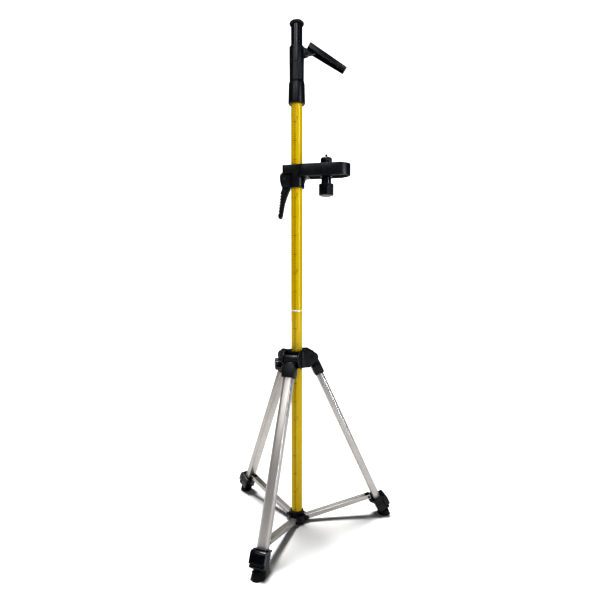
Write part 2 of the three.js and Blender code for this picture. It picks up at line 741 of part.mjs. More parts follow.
// Channel lever beside the sleeve, open underneath, with its neck between the sleeve's ears.
function topLever() {
  const along = [Math.cos(LEVER_SLOPE), Math.sin(LEVER_SLOPE)];
  const down = [Math.sin(LEVER_SLOPE), -Math.cos(LEVER_SLOPE)];
  const at = (distance, depth) => [
    LEVER_START[0] + along[0] * distance + down[0] * depth,
    LEVER_START[1] + along[1] * distance + down[1] * depth,
  ];
  const side = [at(0, 15), at(LEVER_LENGTH, 8), at(LEVER_LENGTH, 1.5), at(LEVER_LENGTH - 1.5, 0), at(0, 0)];
  const hollow = [
    at(LEVER_WALL, 30),
    at(LEVER_LENGTH - LEVER_WALL, 30),
    at(LEVER_LENGTH - LEVER_WALL, LEVER_WALL),
    at(LEVER_WALL, LEVER_WALL),
  ];
  const inside = LEVER_HALF_W - LEVER_WALL;
  const channel = plate(side, -LEVER_HALF_W, LEVER_HALF_W).subtract(plate(hollow, -inside, inside));
  const neck = plate(
    [at(26, 13), at(26, 1), at(1, 1), ...arc(LEVER_PIVOT_X, LEVER_PIVOT_Z, 6.8, 140, 290, 10)],
    -LEVER_NECK_HALF_W,
    LEVER_NECK_HALF_W,
  );
  return channel.add(neck).subtract(crossRod(PIN_HOLE_R, 30, LEVER_PIVOT_X, LEVER_PIVOT_Z));
}

// ---- instrument bracket -----------------------------------------------------------------

function bracketBush() {
  const slit = block([-60, -1.5, BRACKET_BOTTOM_Z - 10], [0, 1.5, SLAB_TOP_Z + 10]);
  const body = tube(POLE_R + 0.4, BUSH_R, BRACKET_BOTTOM_Z + 0.5, SLAB_TOP_Z + 1);
  return body.subtract(turnedSolid(slit, Math.PI / 2));
}

// The slab seen from above: straight sides and a blunt, faceted nose.
function slabOutline(inset) {
  const half = SLAB_HALF_W - inset;
  const end = SLAB_END - inset;
  const side = [
    [10, half - 4],
    [24, half],
    [end - 25, half],
    [end - 11, half - 8.5],
    [end - 3, half - 17],
  ];
  const mirrored = side.map(([x, y]) => [x, -y]);
  return [...mirrored, [end, 0], ...side.reverse()];
}

function bracketBody() {
  const slab = prism(slabOutline(0), SLAB_BOTTOM_Z, SLAB_TOP_Z);
  const recess = prism(slabOutline(SLAB_LIP), SLAB_BOTTOM_Z - 1, SLAB_BOTTOM_Z + SLAB_RECESS).subtract(
    block([0, -SLAB_HALF_W, SLAB_BOTTOM_Z - 2], [34, SLAB_HALF_W, SLAB_BOTTOM_Z + SLAB_RECESS + 1]),
  );
  const boss = new THREE.CylinderGeometry(BOSS_R, BOSS_R, SLAB_RECESS + 2, ROUND);
  boss.rotateX(Math.PI / 2);
  boss.translate(SCREW_X, 0, SLAB_BOTTOM_Z + SLAB_RECESS / 2 + 1);
  const back = prism(roundedBox(BLOCK_END, 20, BLOCK_HALF_W, 1, 5), BLOCK_BOTTOM_Z, SLAB_TOP_Z);
  const collar = rod(BRACKET_COLLAR_R, BRACKET_BOTTOM_Z, BLOCK_BOTTOM_Z + 5);
  const gusset = plate(
    [
      [15, BRACKET_BOTTOM_Z + 10],
      [BRACKET_COLLAR_R, 934],
      [32, SLAB_BOTTOM_Z + 1],
      [15, SLAB_BOTTOM_Z + 1],
    ],
    -9,
    9,
  );
  const cheekOutline = [
    [-14, BRACKET_BOTTOM_Z + 2],
    [-14, BLOCK_BOTTOM_Z + 2],
    [BLOCK_END, BLOCK_BOTTOM_Z + 4],
    [-43, 955],
    [-44, 950],
    [-43, 932],
    [-39, BRACKET_BOTTOM_Z + 3],
  ];
  const cheeks = [-1, 1].map((side) => {
    const y0 = side > 0 ? CHEEK_INNER_Y : -CHEEK_INNER_Y - CHEEK_T;
    return plate(cheekOutline, y0, y0 + CHEEK_T);
  });
  const camSlot = block(
    [-60, -CHEEK_INNER_Y, BRACKET_BOTTOM_Z - CUT],
    [-BRACKET_COLLAR_R, CHEEK_INNER_Y, BLOCK_BOTTOM_Z - 1.5],
  );
  const jawSlot = block([-30, -CHEEK_INNER_Y, JAW_BOTTOM_Z - GAP], [-10, CHEEK_INNER_Y, JAW_TOP_Z + GAP]);
  const screwReach = 2 * (SLAB_TOP_Z - SLAB_BOTTOM_Z + CUT);
  const screwHole = new THREE.CylinderGeometry(SCREW_R + GAP, SCREW_R + GAP, screwReach, SMALL_ROUND);
  screwHole.rotateX(Math.PI / 2);
  screwHole.translate(SCREW_X, 0, SLAB_BOTTOM_Z);
  return joined([slab.subtract(recess), solid(boss), back, collar, gusset])
    .subtract(camSlot)
    .add(cheeks[0])
    .add(cheeks[1])
    .subtract(jawSlot)
    .subtract(solid(screwHole))
    .subtract(crossRod(CAM_PIN_R + GAP, 30, CAM_X, CAM_Z))
    .subtract(rod(BRACKET_BORE_R, BRACKET_BOTTOM_Z - 1, SLAB_TOP_Z + 1));
}

function clampJaw() {
  const reach = CAM_X + CAM_R + CAM_ECCENTRIC + GAP;
  const body = block([reach, -CHEEK_INNER_Y + 0.6, JAW_BOTTOM_Z], [-12, CHEEK_INNER_Y - 0.6, JAW_TOP_Z]);
  return body.subtract(rod(BUSH_R + 0.4, JAW_BOTTOM_Z - 1, JAW_TOP_Z + 1));
}

// Serrated lever hanging beside the pole; its round head is the cam.
function camLever() {
  const teeth = [];
  const first = [-43.2, 907];
  const last = [-49.8, 852];
  const count = 7;
  const depth = 2.4;
  for (let i = 0; i < count; i++) {
    for (const [step, dip] of [[0, 0], [0.35, 0], [0.5, depth], [0.86, depth]]) {
      const t = (i + step) / count;
      teeth.push([first[0] + (last[0] - first[0]) * t + dip, first[1] + (last[1] - first[1]) * t]);
    }
  }
  const outline = [
    ...arc(CAM_X, CAM_Z, CAM_HEAD_R, 158, 215, 7),
    [-38.6, 921],
    [-40, 914],
    ...teeth,
    [-50.2, 848],
    [-49.6, 842.5],
    [-46.6, 837.4],
    [-43.6, 837.4],
    [-41.2, 841],
    [-40.2, 846],
    [-34.3, 877.6],
    [-28, 896],
    [-21.5, 911.5],
    [-18, 916.6],
    [-23, 917.2],
    [-27, 922],
    [-28.5, 936],
    [CAM_X, CAM_Z],
  ];
  const arm = plate(outline, -CAM_HALF_W, CAM_HALF_W);
  const cam = crossRod(CAM_R, CAM_HALF_W, CAM_X + CAM_ECCENTRIC, CAM_Z, 20);
  return arm.add(cam).subtract(crossRod(CAM_PIN_R + GAP, 30, CAM_X, CAM_Z));
}

function mountKnob() {
  const profile = [
    [0, KNOB_BOTTOM_Z],
    [KNOB_GRIP_R - 3, KNOB_BOTTOM_Z],
    [KNOB_GRIP_R, KNOB_BOTTOM_Z + 3],
    [KNOB_GRIP_R, KNOB_GRIP_TOP_Z - 1],
    [KNOB_GRIP_R - 1, KNOB_GRIP_TOP_Z],
    [KNOB_NECK_R, KNOB_GRIP_TOP_Z],
    [KNOB_NECK_R, SLAB_BOTTOM_Z - 0.4],
    [0, SLAB_BOTTOM_Z - 0.4],
  ];
  return fluted(profile, KNOB_GRIP_R, 12, 0.7, KNOB_BOTTOM_Z - 1, KNOB_GRIP_TOP_Z + 0.01).subtract(
    rod(SCREW_R + GAP, KNOB_BOTTOM_Z + 8, SLAB_BOTTOM_Z + 1, SMALL_ROUND),
  );
}

function mountScrew() {
  const tip = 1;
  const profile = [
    [0, KNOB_BOTTOM_Z + 8 + GAP],
    [SCREW_R, KNOB_BOTTOM_Z + 8 + GAP],
    [SCREW_R, SCREW_TOP_Z - tip],
    [SCREW_R - tip, SCREW_TOP_Z],
    [0, SCREW_TOP_Z],
  ];
  return turned(profile, SMALL_ROUND);
}

function lockRing() {
  const bottom = SLAB_TOP_Z + 0.4;
  const profile = [
    [0, bottom],
    [RING_R - 1, bottom],
    [RING_R, bottom + 1],
    [RING_R, RING_TOP_Z - 1.5],
    [RING_R - 1.5, RING_TOP_Z],
    [0, RING_TOP_Z],
  ];
  return fluted(profile, RING_R, 12, 0.5, bottom - 1, RING_TOP_Z + 1).subtract(
    rod(SCREW_R + GAP, bottom - 1, RING_TOP_Z + 1, SMALL_ROUND),
  );
}

// ---- assembly ---------------------------------------------------------------------------

function addPole(group) {
  group.add(named("pole_lower", tube(POLE_BORE_R, POLE_R, POLE_FOOT_Z, POLE_JOINT_Z), YELLOW));
  group.add(named("pole_joint_ring", poleJoint(), SATIN));
  const upperStart = POLE_JOINT_Z + JOINT_RING_H + 2 * GAP;
  group.add(named("pole_upper", tube(POLE_BORE_R, POLE_R, upperStart, POLE_TOP_Z), YELLOW));
}

function addBase(group) {
  group.add(named("base_hub", baseHub(), BLACK));
  const pinHalf = ARM_W / 2 + 0.4 + HUB_EAR_T + 0.3 + PIN_HEAD_T;
  for (let i = 0; i < LEGS; i++) {
    const spoke = new THREE.Group();
    spoke.rotation.z = legAzimuth(i);
    const pin = headedPin(PIN_R, pinHalf, PIN_HEAD_R, HUB_PIVOT_R, HUB_PIVOT_Z);
    spoke.add(named("hub_pin_" + (i + 1), pin, STEEL));
    const arm = named("spreader_arm_" + (i + 1), spreaderArm(), SATIN);
    arm.position.set(HUB_PIVOT_R, 0, HUB_PIVOT_Z);
    arm.rotation.y = -ARM_SLOPE;
    spoke.add(arm);
    group.add(spoke);
  }
}

function addLeg(group, i) {
  const spoke = new THREE.Group();
  spoke.rotation.z = legAzimuth(i);
  const leg = new THREE.Group();
  leg.position.set(LEG_PIVOT_R, 0, LEG_PIVOT_Z);
  leg.rotation.y = -LEG_TILT;
  const tag = "_" + (i + 1);
  leg.add(named("leg_knuckle" + tag, legKnuckle(), BLACK));
  leg.add(named("knuckle_pin" + tag, knucklePin(), STEEL));
  leg.add(named("leg_tube" + tag, legTube(), SATIN));
  leg.add(named("inner_leg" + tag, innerLeg(), SATIN));
  leg.add(named("leg_clamp" + tag, legClamp(), BLACK));
  leg.add(named("latch_lever" + tag, latchLever(), BLACK));
  const latchPin = crossRod(PIN_R, CLAMP_HALF_W + 0.5, LATCH_OUT, -LATCH_AT);
  leg.add(named("latch_pin" + tag, latchPin, STEEL));
  const bracePin = headedPin(PIN_R, ARM_W / 2 + GAP + PIN_HEAD_T, PIN_HEAD_R, -BRACE_IN, -BRACE_AT);
  leg.add(named("arm_pin" + tag, bracePin, STEEL));
  spoke.add(leg);
  spoke.add(named("foot" + tag, foot(), RUBBER));
  group.add(spoke);
}

function addCrown(group) {
  group.add(named("crown", crownBody(), BLACK));
  const knob = new THREE.Group();
  knob.position.z = CROWN_KNOB_Z;
  knob.rotation.y = -Math.PI / 2;
  knob.add(named("crown_knob", crownKnob(), BLACK));
  knob.add(named("crown_screw", crownScrew(), STEEL));
  group.add(knob);
}

function addHead(group) {
  group.add(named("head_collar", headCollar(), BLACK));
  group.add(named("head_sleeve", headSleeve(), BLACK));
  group.add(named("plunger_tube", tube(PLUNGER_BORE_R, POLE_R, PLUNGER_BOTTOM_Z, PLUNGER_TOP_Z), BLACK));
  group.add(named("top_cap", topCap(), RUBBER));
  group.add(named("top_lever", topLever(), BLACK));
  const pinHalf = LEVER_NECK_HALF_W + 3.9 + 0.3 + PIN_HEAD_T;
  const pin = headedPin(PIN_R, pinHalf, PIN_HEAD_R, LEVER_PIVOT_X, LEVER_PIVOT_Z);
  group.add(named("top_lever_pin", pin, STEEL));
}

function addBracket(group) {
  const bracket = new THREE.Group();
  bracket.rotation.z = BRACKET_AZIMUTH;
  bracket.add(named("bracket_bush", bracketBush(), BLACK));
  bracket.add(named("bracket_body", bracketBody(), BLACK));
  bracket.add(named("clamp_jaw", clampJaw(), BLACK));
  bracket.add(named("cam_lever", camLever(), BLACK));
  const pinHalf = CHEEK_INNER_Y + CHEEK_T + 0.3 + PIN_HEAD_T;
  bracket.add(named("cam_pin", headedPin(CAM_PIN_R, pinHalf, 4.2, CAM_X, CAM_Z), STEEL));
  const mount = new THREE.Group();
  mount.position.x = SCREW_X;
  mount.add(named("mount_knob", mountKnob(), BLACK));
  mount.add(named("mount_screw", mountScrew(), STEEL));
  mount.add(named("lock_ring", lockRing(), BLACK));
  bracket.add(mount);
  group.add(bracket);
}

const part = new THREE.Group();
part.name = "levelling_pole_tripod";
addPole(part);
addBase(part);
for (let i = 0; i < LEGS; i++) addLeg(part, i);
addCrown(part);
addHead(part);
addBracket(part);

export default part;
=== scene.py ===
"""Looks of the levelling pole on its tripod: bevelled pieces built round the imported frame."""
import math

import bmesh
import bpy
from mathutils import Matrix, Vector


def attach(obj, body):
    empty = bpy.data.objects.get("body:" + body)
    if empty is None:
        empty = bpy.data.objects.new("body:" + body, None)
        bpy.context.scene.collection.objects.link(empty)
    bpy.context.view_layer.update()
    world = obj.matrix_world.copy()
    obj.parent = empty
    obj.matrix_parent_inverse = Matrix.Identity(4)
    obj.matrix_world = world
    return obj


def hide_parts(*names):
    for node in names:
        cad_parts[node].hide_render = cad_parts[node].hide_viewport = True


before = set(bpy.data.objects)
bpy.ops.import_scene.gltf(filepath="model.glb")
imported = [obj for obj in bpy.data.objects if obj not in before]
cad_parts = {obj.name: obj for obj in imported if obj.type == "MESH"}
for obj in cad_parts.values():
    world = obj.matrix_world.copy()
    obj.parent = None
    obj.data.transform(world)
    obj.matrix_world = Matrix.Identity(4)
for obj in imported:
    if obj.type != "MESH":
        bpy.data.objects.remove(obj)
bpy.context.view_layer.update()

MM = 0.001
LEGS = 3

# ---- driving dimensions, millimetres, as in the CAD ------------------------------------
POLE_R, POLE_BORE_R, POLE_SEAT_R = 15.0, 13.5, 15.3
POLE_FOOT_Z, POLE_JOINT_Z, POLE_TOP_Z = 11.0, 587.0, 1166.0
HUB_BOTTOM_Z, HUB_TOP_Z, HUB_R, HUB_RIM_R = 3.0, 35.0, 17.6, 18.4
HUB_BODY_R, HUB_BODY_TOP_Z = 24.5, 24.0
HUB_PIVOT_R, HUB_PIVOT_Z, HUB_EAR_R, HUB_EAR_T = 26.0, 13.0, 6.5, 3.4
ARM_W, ARM_UP, ARM_DOWN, ARM_WALL, ARM_TAIL, ARM_FORK = 17.0, 6.5, 5.5, 1.5, 4.2, 9.0
PIN_R, PIN_HEAD_R, PIN_HEAD_T = 2.0, 3.6, 1.2
LEG_TILT = math.radians(24.9)
LEG_PIVOT_R, LEG_PIVOT_Z = 40.6, 463.0
TUBE_DEPTH, TUBE_WIDTH, TUBE_WALL = 20.0, 28.0, 1.4
TUBE_START, TUBE_END, INNER_START, INNER_END = 22.0, 470.0, 130.0, 501.5
BRACE_AT, BRACE_IN = 440.1, 20.8
CLAMP_START, CLAMP_FLANGE_T, CLAMP_END = 452.0, 4.5, 491.0
CLAMP_HALF_W, CLAMP_IN, CLAMP_OUT = 18.5, 13.5, 10.6
TAB_HALF_W, TAB_R, TAB_NECK, ARM_SLOT = 6.4, 7.0, 3.2, 13.6
LATCH_AT, LATCH_OUT, LATCH_CAM_R, LATCH_HALF_W, LUG_R = 487.2, 16.2, 5.2, 14.0, 4.5
LATCH_PAD_HALF_W, LATCH_PAD_TOP, LATCH_PAD_OUT = 19.0, 454.0, 25.5
FOOT_START, FOOT_R = 494.0, 16.0
KNUCKLE_BARREL_R, KNUCKLE_HALF_W = 11.5, 19.0
SOCKET_HALF_W, SOCKET_HALF_D, SOCKET_TOP, SOCKET_END = 17.5, 13.3, 11.0, 51.0
NECK_HALF_D, NECK_HALF_W, NECK_END = 9.0, 15.0, 24.0
CROWN_BORE_R, CROWN_R, CROWN_BOTTOM_Z, CROWN_TOP_Z = 15.7, 32.0, 436.0, 482.0
CROWN_POCKET_R, EAR_TOP_Z = 26.9, 484.0
EAR_R, EAR_T, EAR_INNER_Y = 15.0, 4.5, 19.4
CROWN_KNOB_Z, CROWN_BOSS_END = 444.6, 40.0
CROWN_GRIP_START, CROWN_GRIP_END, CROWN_GRIP_R = 44.0, 60.0, 16.3
COLLAR_BOTTOM_Z, COLLAR_TOP_Z, COLLAR_R = 1139.5, 1199.0, 22.3
SLEEVE_TOP_Z, SLEEVE_R, SLEEVE_FLAT_TOP_Z = 1288.7, 19.4, 1250.0
PLUNGER_BOTTOM_Z, PLUNGER_TOP_Z, PLUNGER_BORE_R = 1212.0, 1344.4, 13.0
CAP_R, CAP_TOP_Z = 19.2, 1357.6
LEVER_PIVOT_X, LEVER_PIVOT_Z, LEVER_LENGTH = 27.0, 1275.0, 115.0
LEVER_START = (34.4, 1298.7)
LEVER_SLOPE = math.radians(-29.8)
LEVER_HALF_W, LEVER_WALL, LEVER_NECK_HALF_W, LEVER_EAR_R = 15.0, 2.4, 5.6, 7.5
BRACKET_AZIMUTH = math.radians(-21.9)
BRACKET_COLLAR_R, BRACKET_BORE_R, BRACKET_BOTTOM_Z = 20.6, 17.3, 918.0
BLOCK_BOTTOM_Z, SLAB_BOTTOM_Z, SLAB_TOP_Z = 957.0, 946.0, 978.0
SLAB_END, SLAB_HALF_W, BLOCK_HALF_W, BLOCK_END = 144.0, 25.0, 21.0, -35.5
CHEEK_INNER_Y, CHEEK_T = 8.4, 4.0
CAM_X, CAM_Z, CAM_R, CAM_ECCENTRIC, CAM_HEAD_R, CAM_HALF_W = -33.0, 943.0, 5.7, 0.8, 11.2, 8.0
SCREW_X, SCREW_R, SCREW_TOP_Z = 80.0, 3.175, 1004.0
RING_R, RING_TOP_Z = 15.0, 995.0
KNOB_NECK_R, KNOB_GRIP_R, KNOB_GRIP_TOP_Z, KNOB_BOTTOM_Z = 12.8, 19.2, 926.0, 896.0

PIN_HOLE_R, WIDE_HOLE_R, SCREW_HOLE_R, CROWN_SCREW_HOLE_R = 2.3, 2.8, 3.475, 3.3
WIDE_PIN_R, CAM_PIN_HEAD_R, JAW_HALF_W, JAW_HALF_H, JAW_BORE_R = 2.5, 4.2, 7.8, 11.0, 17.4
GAP = 0.3  # clearance between neighbouring pieces
FINE = 96  # sides of the larger turned pieces

# ---- materials --------------------------------------------------------------------------


class Nodes:
    """A material with a few short ways to add nodes."""

    def __init__(self, name):
        self.material = bpy.data.materials.new(name)
        self.material.use_nodes = True
        self.tree = self.material.node_tree
        self.shader = self.tree.nodes["Principled BSDF"]
        self.coords = self.tree.nodes.new("ShaderNodeTexCoord").outputs["Object"]

    def set(self, **values):
        for key, value in values.items():
            self.shader.inputs[key.replace("_", " ")].default_value = value

    def link(self, a, b):
        self.tree.links.new(a, b)

    def math(self, operation, a, b=None, c=None):
        node = self.tree.nodes.new("ShaderNodeMath")
        node.operation = operation
        for socket, value in zip(node.inputs, (a, b, c)):
            if value is None:
                continue
            if isinstance(value, (int, float)):
                socket.default_value = value
            else:
                self.link(value, socket)
        return node.outputs[0]

    def noise(self, scale, detail=3.0, roughness=0.55, stretch=None):
        node = self.tree.nodes.new("ShaderNodeTexNoise")
        node.inputs["Scale"].default_value = scale
        node.inputs["Detail"].default_value = detail
        node.inputs["Roughness"].default_value = roughness
        source = self.coords
        if stretch:
            mapping = self.tree.nodes.new("ShaderNodeMapping")
            mapping.inputs["Scale"].default_value = stretch
            self.link(self.coords, mapping.inputs["Vector"])
            source = mapping.outputs["Vector"]
        self.link(source, node.inputs["Vector"])
        return node.outputs["Fac"]

    def ramp(self, value, low, high, to_low, to_high):
        node = self.tree.nodes.new("ShaderNodeMapRange")
        self.link(value, node.inputs["Value"])
        keys = ("From Min", "From Max", "To Min", "To Max")
        for key, number in zip(keys, (low, high, to_low, to_high)):
            node.inputs[key].default_value = number
        return node.outputs["Result"]

    def mix(self, factor, a, b):
        node = self.tree.nodes.new("ShaderNodeMix")
        node.data_type = "RGBA"
        self.link(factor, node.inputs["Factor"])
        for socket, value in ((node.inputs[6], a), (node.inputs[7], b)):
            if isinstance(value, tuple):
                socket.default_value = (*value, 1.0)
            else:
                self.link(value, socket)
        return node.outputs[2]

    def bump(self, height, strength, distance):
        node = self.tree.nodes.new("ShaderNodeBump")
        node.inputs["Strength"].default_value = strength
        node.inputs["Distance"].default_value = distance
        self.link(height, node.inputs["Height"])
        self.link(node.outputs["Normal"], self.shader.inputs["Normal"])

    def drift(self, value, tone, other, start=0.35, end=0.65):
        """Colour that moves between two tones as a noise does."""
        return self.mix(self.ramp(value, start, end, 0, 1), tone, other)

    def colour(self, value):
        self.link(value, self.shader.inputs["Base Color"])

    def gloss(self, value, low, high):
        """Roughness that moves between two values as a noise does."""
        self.link(self.ramp(value, 0.3, 0.7, low, high), self.shader.inputs["Roughness"])


def black_plastic(name, low, high, rough_low, rough_high, grain):
    n = Nodes(name)
    n.colour(n.drift(n.noise(60), low, high))
    n.gloss(n.noise(140, 4), rough_low, rough_high)
    n.bump(n.noise(grain, 2, 0.6), 0.35, 0.00015)
    n.set(Specular_IOR_Level=0.32)
    return n.material


def satin_aluminium(name, tint, rough_low, rough_high):
    n = Nodes(name)
    brush = n.noise(900, 2, 0.6, stretch=(1, 1, 0.02))
    patch = n.noise(18, 3)
    pale = tuple(min(1.0, c * 1.06) for c in tint)
    n.colour(n.drift(patch, tint, pale))
    n.gloss(brush, rough_low, rough_high)
    n.bump(brush, 0.05, 0.0001)
    n.set(Metallic=0.7)
    return n.material


def rubber(name):
    n = Nodes(name)
    n.colour(n.drift(n.noise(90), (0.0035, 0.0035, 0.0038), (0.007, 0.007, 0.0076)))
    n.gloss(n.noise(200), 0.5, 0.7)
    n.set(Specular_IOR_Level=0.25)
    n.bump(n.noise(1400, 3, 0.7), 0.5, 0.0002)
    return n.material


# Pins and screws. Their dark base colour is painted shade, so that pin heads read like shaded holes.
def dark_steel(name):
    n = Nodes(name)
    n.colour(n.drift(n.noise(300), (0.03, 0.03, 0.032), (0.055, 0.055, 0.058)))
    n.gloss(n.noise(500), 0.25, 0.42)
    n.bump(n.noise(1200, 2), 0.2, 0.0001)
    n.set(Metallic=1.0)
    return n.material


# Printed scale: ticks beside a vertical line of the pole, in the pole's own paint. Lengths in
# metres, widths as half the angle they cover.
TICK_STEP, TICK_THICKNESS, TICK_HALF_ANGLE = 0.005, 0.0019, 0.13
LONG_STEP, LONG_THICKNESS, LONG_HALF_ANGLE = 0.05, 0.0021, 0.26
LONG_TICK_Z = 0.0412
TICK_AZIMUTH = math.radians(-118.8)
# The numerals beside it, in millimetres.
NUMERAL_AZIMUTH = math.radians(-94.9)
NUMERALS, NUMERAL_STEP, NUMERAL_COUNTS, NUMERAL_HEIGHT = 6, 200, 20, 6.2
NUMERAL_START_Z, NUMERAL_LIFT, INK_THICKNESS = 94.7, 0.03, 0.02


def yellow_paint(name):
    n = Nodes(name)
    split = n.tree.nodes.new("ShaderNodeSeparateXYZ")
    n.link(n.coords, split.inputs[0])
    x, y, z = split.outputs
    # Angle round the pole from the middle of the tick column.
    ca, sa = math.cos(TICK_AZIMUTH), math.sin(TICK_AZIMUTH)
    along = n.math("ADD", n.math("MULTIPLY", x, ca), n.math("MULTIPLY", y, sa))
    across = n.math("SUBTRACT", n.math("MULTIPLY", y, ca), n.math("MULTIPLY", x, sa))
    angle = n.math("ABSOLUTE", n.math("ARCTAN2", across, along))

    def ticks(period, thickness, half_angle):
        phase = n.math("PINGPONG", n.math("SUBTRACT", z, LONG_TICK_Z), period / 2)
        line = n.math("LESS_THAN", phase, thickness / 2)
        return n.math("MULTIPLY", line, n.math("LESS_THAN", angle, half_angle))

    short = ticks(TICK_STEP, TICK_THICKNESS, TICK_HALF_ANGLE)
    long = ticks(LONG_STEP, LONG_THICKNESS, LONG_HALF_ANGLE)
    mask = n.math("MAXIMUM", short, long)
    # The print is a little worn.
    worn = n.ramp(n.noise(420, 3), 0.3, 0.55, 0.72, 0.95)
    mask = n.math("MULTIPLY", mask, worn)
    paint = n.drift(n.noise(9, 3), (0.46, 0.322, 0.0004), (0.5, 0.35, 0.0006))
    speck = n.ramp(n.noise(700, 2), 0.7, 0.8, 0, 0.2)
    paint = n.mix(speck, paint, (0.45, 0.31, 0.005))
    n.colour(n.mix(mask, paint, (0.03, 0.013, 0.002)))
    n.gloss(n.noise(160, 3), 0.13, 0.2)
    n.bump(n.noise(120, 2), 0.03, 0.0002)
    n.set(Coat_Weight=0.15, Coat_Roughness=0.05, Metallic=0.0, Specular_IOR_Level=0.2)
    return n.material


def ink(name):
    n = Nodes(name)
    n.colour(n.drift(n.noise(500), (0.06, 0.03, 0.006), (0.12, 0.06, 0.01), 0.4, 0.6))
    n.set(Roughness=0.35)
    return n.material


YELLOW = yellow_paint("yellow_paint_print")
MOULDED_TONES = (0.0026, 0.0028, 0.0042), (0.0046, 0.005, 0.0072)
GLOSSY_TONES = (0.0024, 0.0027, 0.0048), (0.0042, 0.0047, 0.0078)
BLACK = black_plastic("black_moulded", *MOULDED_TONES, 0.28, 0.42, 1500)
GLOSSY = black_plastic("black_gloss", *GLOSSY_TONES, 0.17, 0.28, 900)
RUBBER = rubber("rubber_matt")
SATIN = satin_aluminium("aluminium_satin", (0.41, 0.388, 0.37), 0.3, 0.44)
RIBBED = satin_aluminium("aluminium_channel", (0.4, 0.38, 0.365), 0.3, 0.44)
RING = satin_aluminium("aluminium_ring", (0.78, 0.77, 0.74), 0.18, 0.3)
STEEL = dark_steel("steel_dark_as_hole_shade")
INK = ink("scale_ink")

# ---- mesh helpers, in millimetres -------------------------------------------------------


def new_object(name, vertices, faces):
    mesh = bpy.data.meshes.new(name)
    mesh.from_pydata([Vector(v) for v in vertices], [], faces)
    mesh.update()
    obj = bpy.data.objects.new(name, mesh)
    bpy.context.scene.collection.objects.link(obj)
    return obj


def apply_modifiers(obj):
    bpy.context.view_layer.update()
    graph = bpy.context.evaluated_depsgraph_get()
    mesh = bpy.data.meshes.new_from_object(obj.evaluated_get(graph))
    obj.modifiers.clear()
    old = obj.data
    obj.data = mesh
    bpy.data.meshes.remove(old)
    return obj


def bevelled(obj, width, segments=2, angle=30):
    if width <= 0:
        return obj
    bevel = obj.modifiers.new("bevel", "BEVEL")
    bevel.width = width
    bevel.segments = segments
    bevel.limit_method = "ANGLE"
    bevel.angle_limit = math.radians(angle)
    return apply_modifiers(obj)


def boolean(obj, others, operation):
    for other in others:
        step = obj.modifiers.new("bool", "BOOLEAN")
        step.operation = operation
        step.solver = "EXACT"
        step.object = other
    apply_modifiers(obj)
    for other in others:
        bpy.data.objects.remove(other)
    return obj


def join(obj, *others):
    return boolean(obj, others, "UNION")


def cut(obj, *others):
    return boolean(obj, others, "DIFFERENCE")


def lathe(profile, segments=72, shape=None, axis="Z"):
    """Solid turned about an axis from (radius, z) pairs, from the axis back to it or round a
    closed loop. shape(radius, angle, z) may change the radius round the turn."""
    closed = profile[0] == profile[-1]
    rows = profile[:-1] if closed else profile
    vertices, rings = [], []
    for radius, z in rows:
        if radius == 0:
            rings.append([len(vertices)] * segments)
            vertices.append((0, 0, z))
            continue
        ring = []
        for i in range(segments):
            angle = 2 * math.pi * i / segments
            r = shape(radius, angle, z) if shape else radius
            ring.append(len(vertices))
            vertices.append((r * math.cos(angle), r * math.sin(angle), z))
        rings.append(ring)
    faces = []
    pairs = list(zip(rings, rings[1:])) + ([(rings[-1], rings[0])] if closed else [])
    for low, high in pairs:
        for i in range(segments):
            j = (i + 1) % segments
            corners = [low[i], low[j], high[j], high[i]]
            face = [c for k, c in enumerate(corners) if c not in corners[:k]]
            if len(face) > 2:
                faces.append(face)
    obj = new_object("lathe", vertices, faces)
    if axis == "X":
        obj.data.transform(Matrix.Rotation(math.pi / 2, 4, "Y"))
    if axis == "Y":
        obj.data.transform(Matrix.Rotation(-math.pi / 2, 4, "X"))
    return obj


def rounded_profile(bottom, top, radius, edge, steps=3):
    """Profile of a plain turned piece whose two outer edges are rounded."""
    profile = [(0, bottom)]
    for i in range(steps + 1):
        a = math.pi / 2 * i / steps
        profile.append((radius - edge + edge * math.sin(a), bottom + edge - edge * math.cos(a)))
    for i in range(steps + 1):
        a = math.pi / 2 * i / steps
        profile.append((radius - edge + edge * math.cos(a), top - edge + edge * math.sin(a)))
    return [*profile, (0, top)]


def rod(radius, bottom, top, segments=40, edge=0.0, axis="Z"):
    profile = [(0, bottom), (radius, bottom), (radius, top), (0, top)]
    if edge:
        profile = rounded_profile(bottom, top, radius, edge)
    return lathe(profile, segments, axis=axis)


def shifted(obj, x=0.0, y=0.0, z=0.0):
    obj.data.transform(Matrix.Translation((x, y, z)))
    return obj


def turned_z(obj, angle):
    obj.data.transform(Matrix.Rotation(angle, 4, "Z"))
    return obj


def prism(outline, low, high, edge=0.0, axis="Z", segments=2):
    """Extrusion of an outline. Along Z the outline is (x, y), along Y it is (x, z) and along X it
    is (y, z)."""
    area = sum(a[0] * b[1] - b[0] * a[1] for a, b in zip(outline, outline[1:] + outline[:1]))
    if area < 0:
        outline = outline[::-1]
    n = len(outline)
    place = {
        "Z": lambda p, h: (p[0], p[1], h),
        "Y": lambda p, h: (p[0], -h, p[1]),
        "X": lambda p, h: (h, p[0], p[1]),
    }[axis]
    ends = (-high, -low) if axis == "Y" else (low, high)
    vertices = [place(p, h) for h in ends for p in outline]
    faces = [list(range(n))[::-1], list(range(n, 2 * n))]
    faces += [[i, (i + 1) % n, n + (i + 1) % n, n + i] for i in range(n)]
    return bevelled(new_object("prism", vertices, faces), edge, segments, 40)


def box(low, high, edge=0.0):
    outline = [(low[0], low[1]), (high[0], low[1]), (high[0], high[1]), (low[0], high[1])]
    return prism(outline, low[2], high[2], edge)


def pair(outline, inner, thickness, edge, segments=2):
    """The same plate on both sides of the middle plane, inner apart from it."""
    starts = (-inner - thickness, inner)
    return [prism(outline, y, y + thickness, edge, "Y", segments) for y in starts]


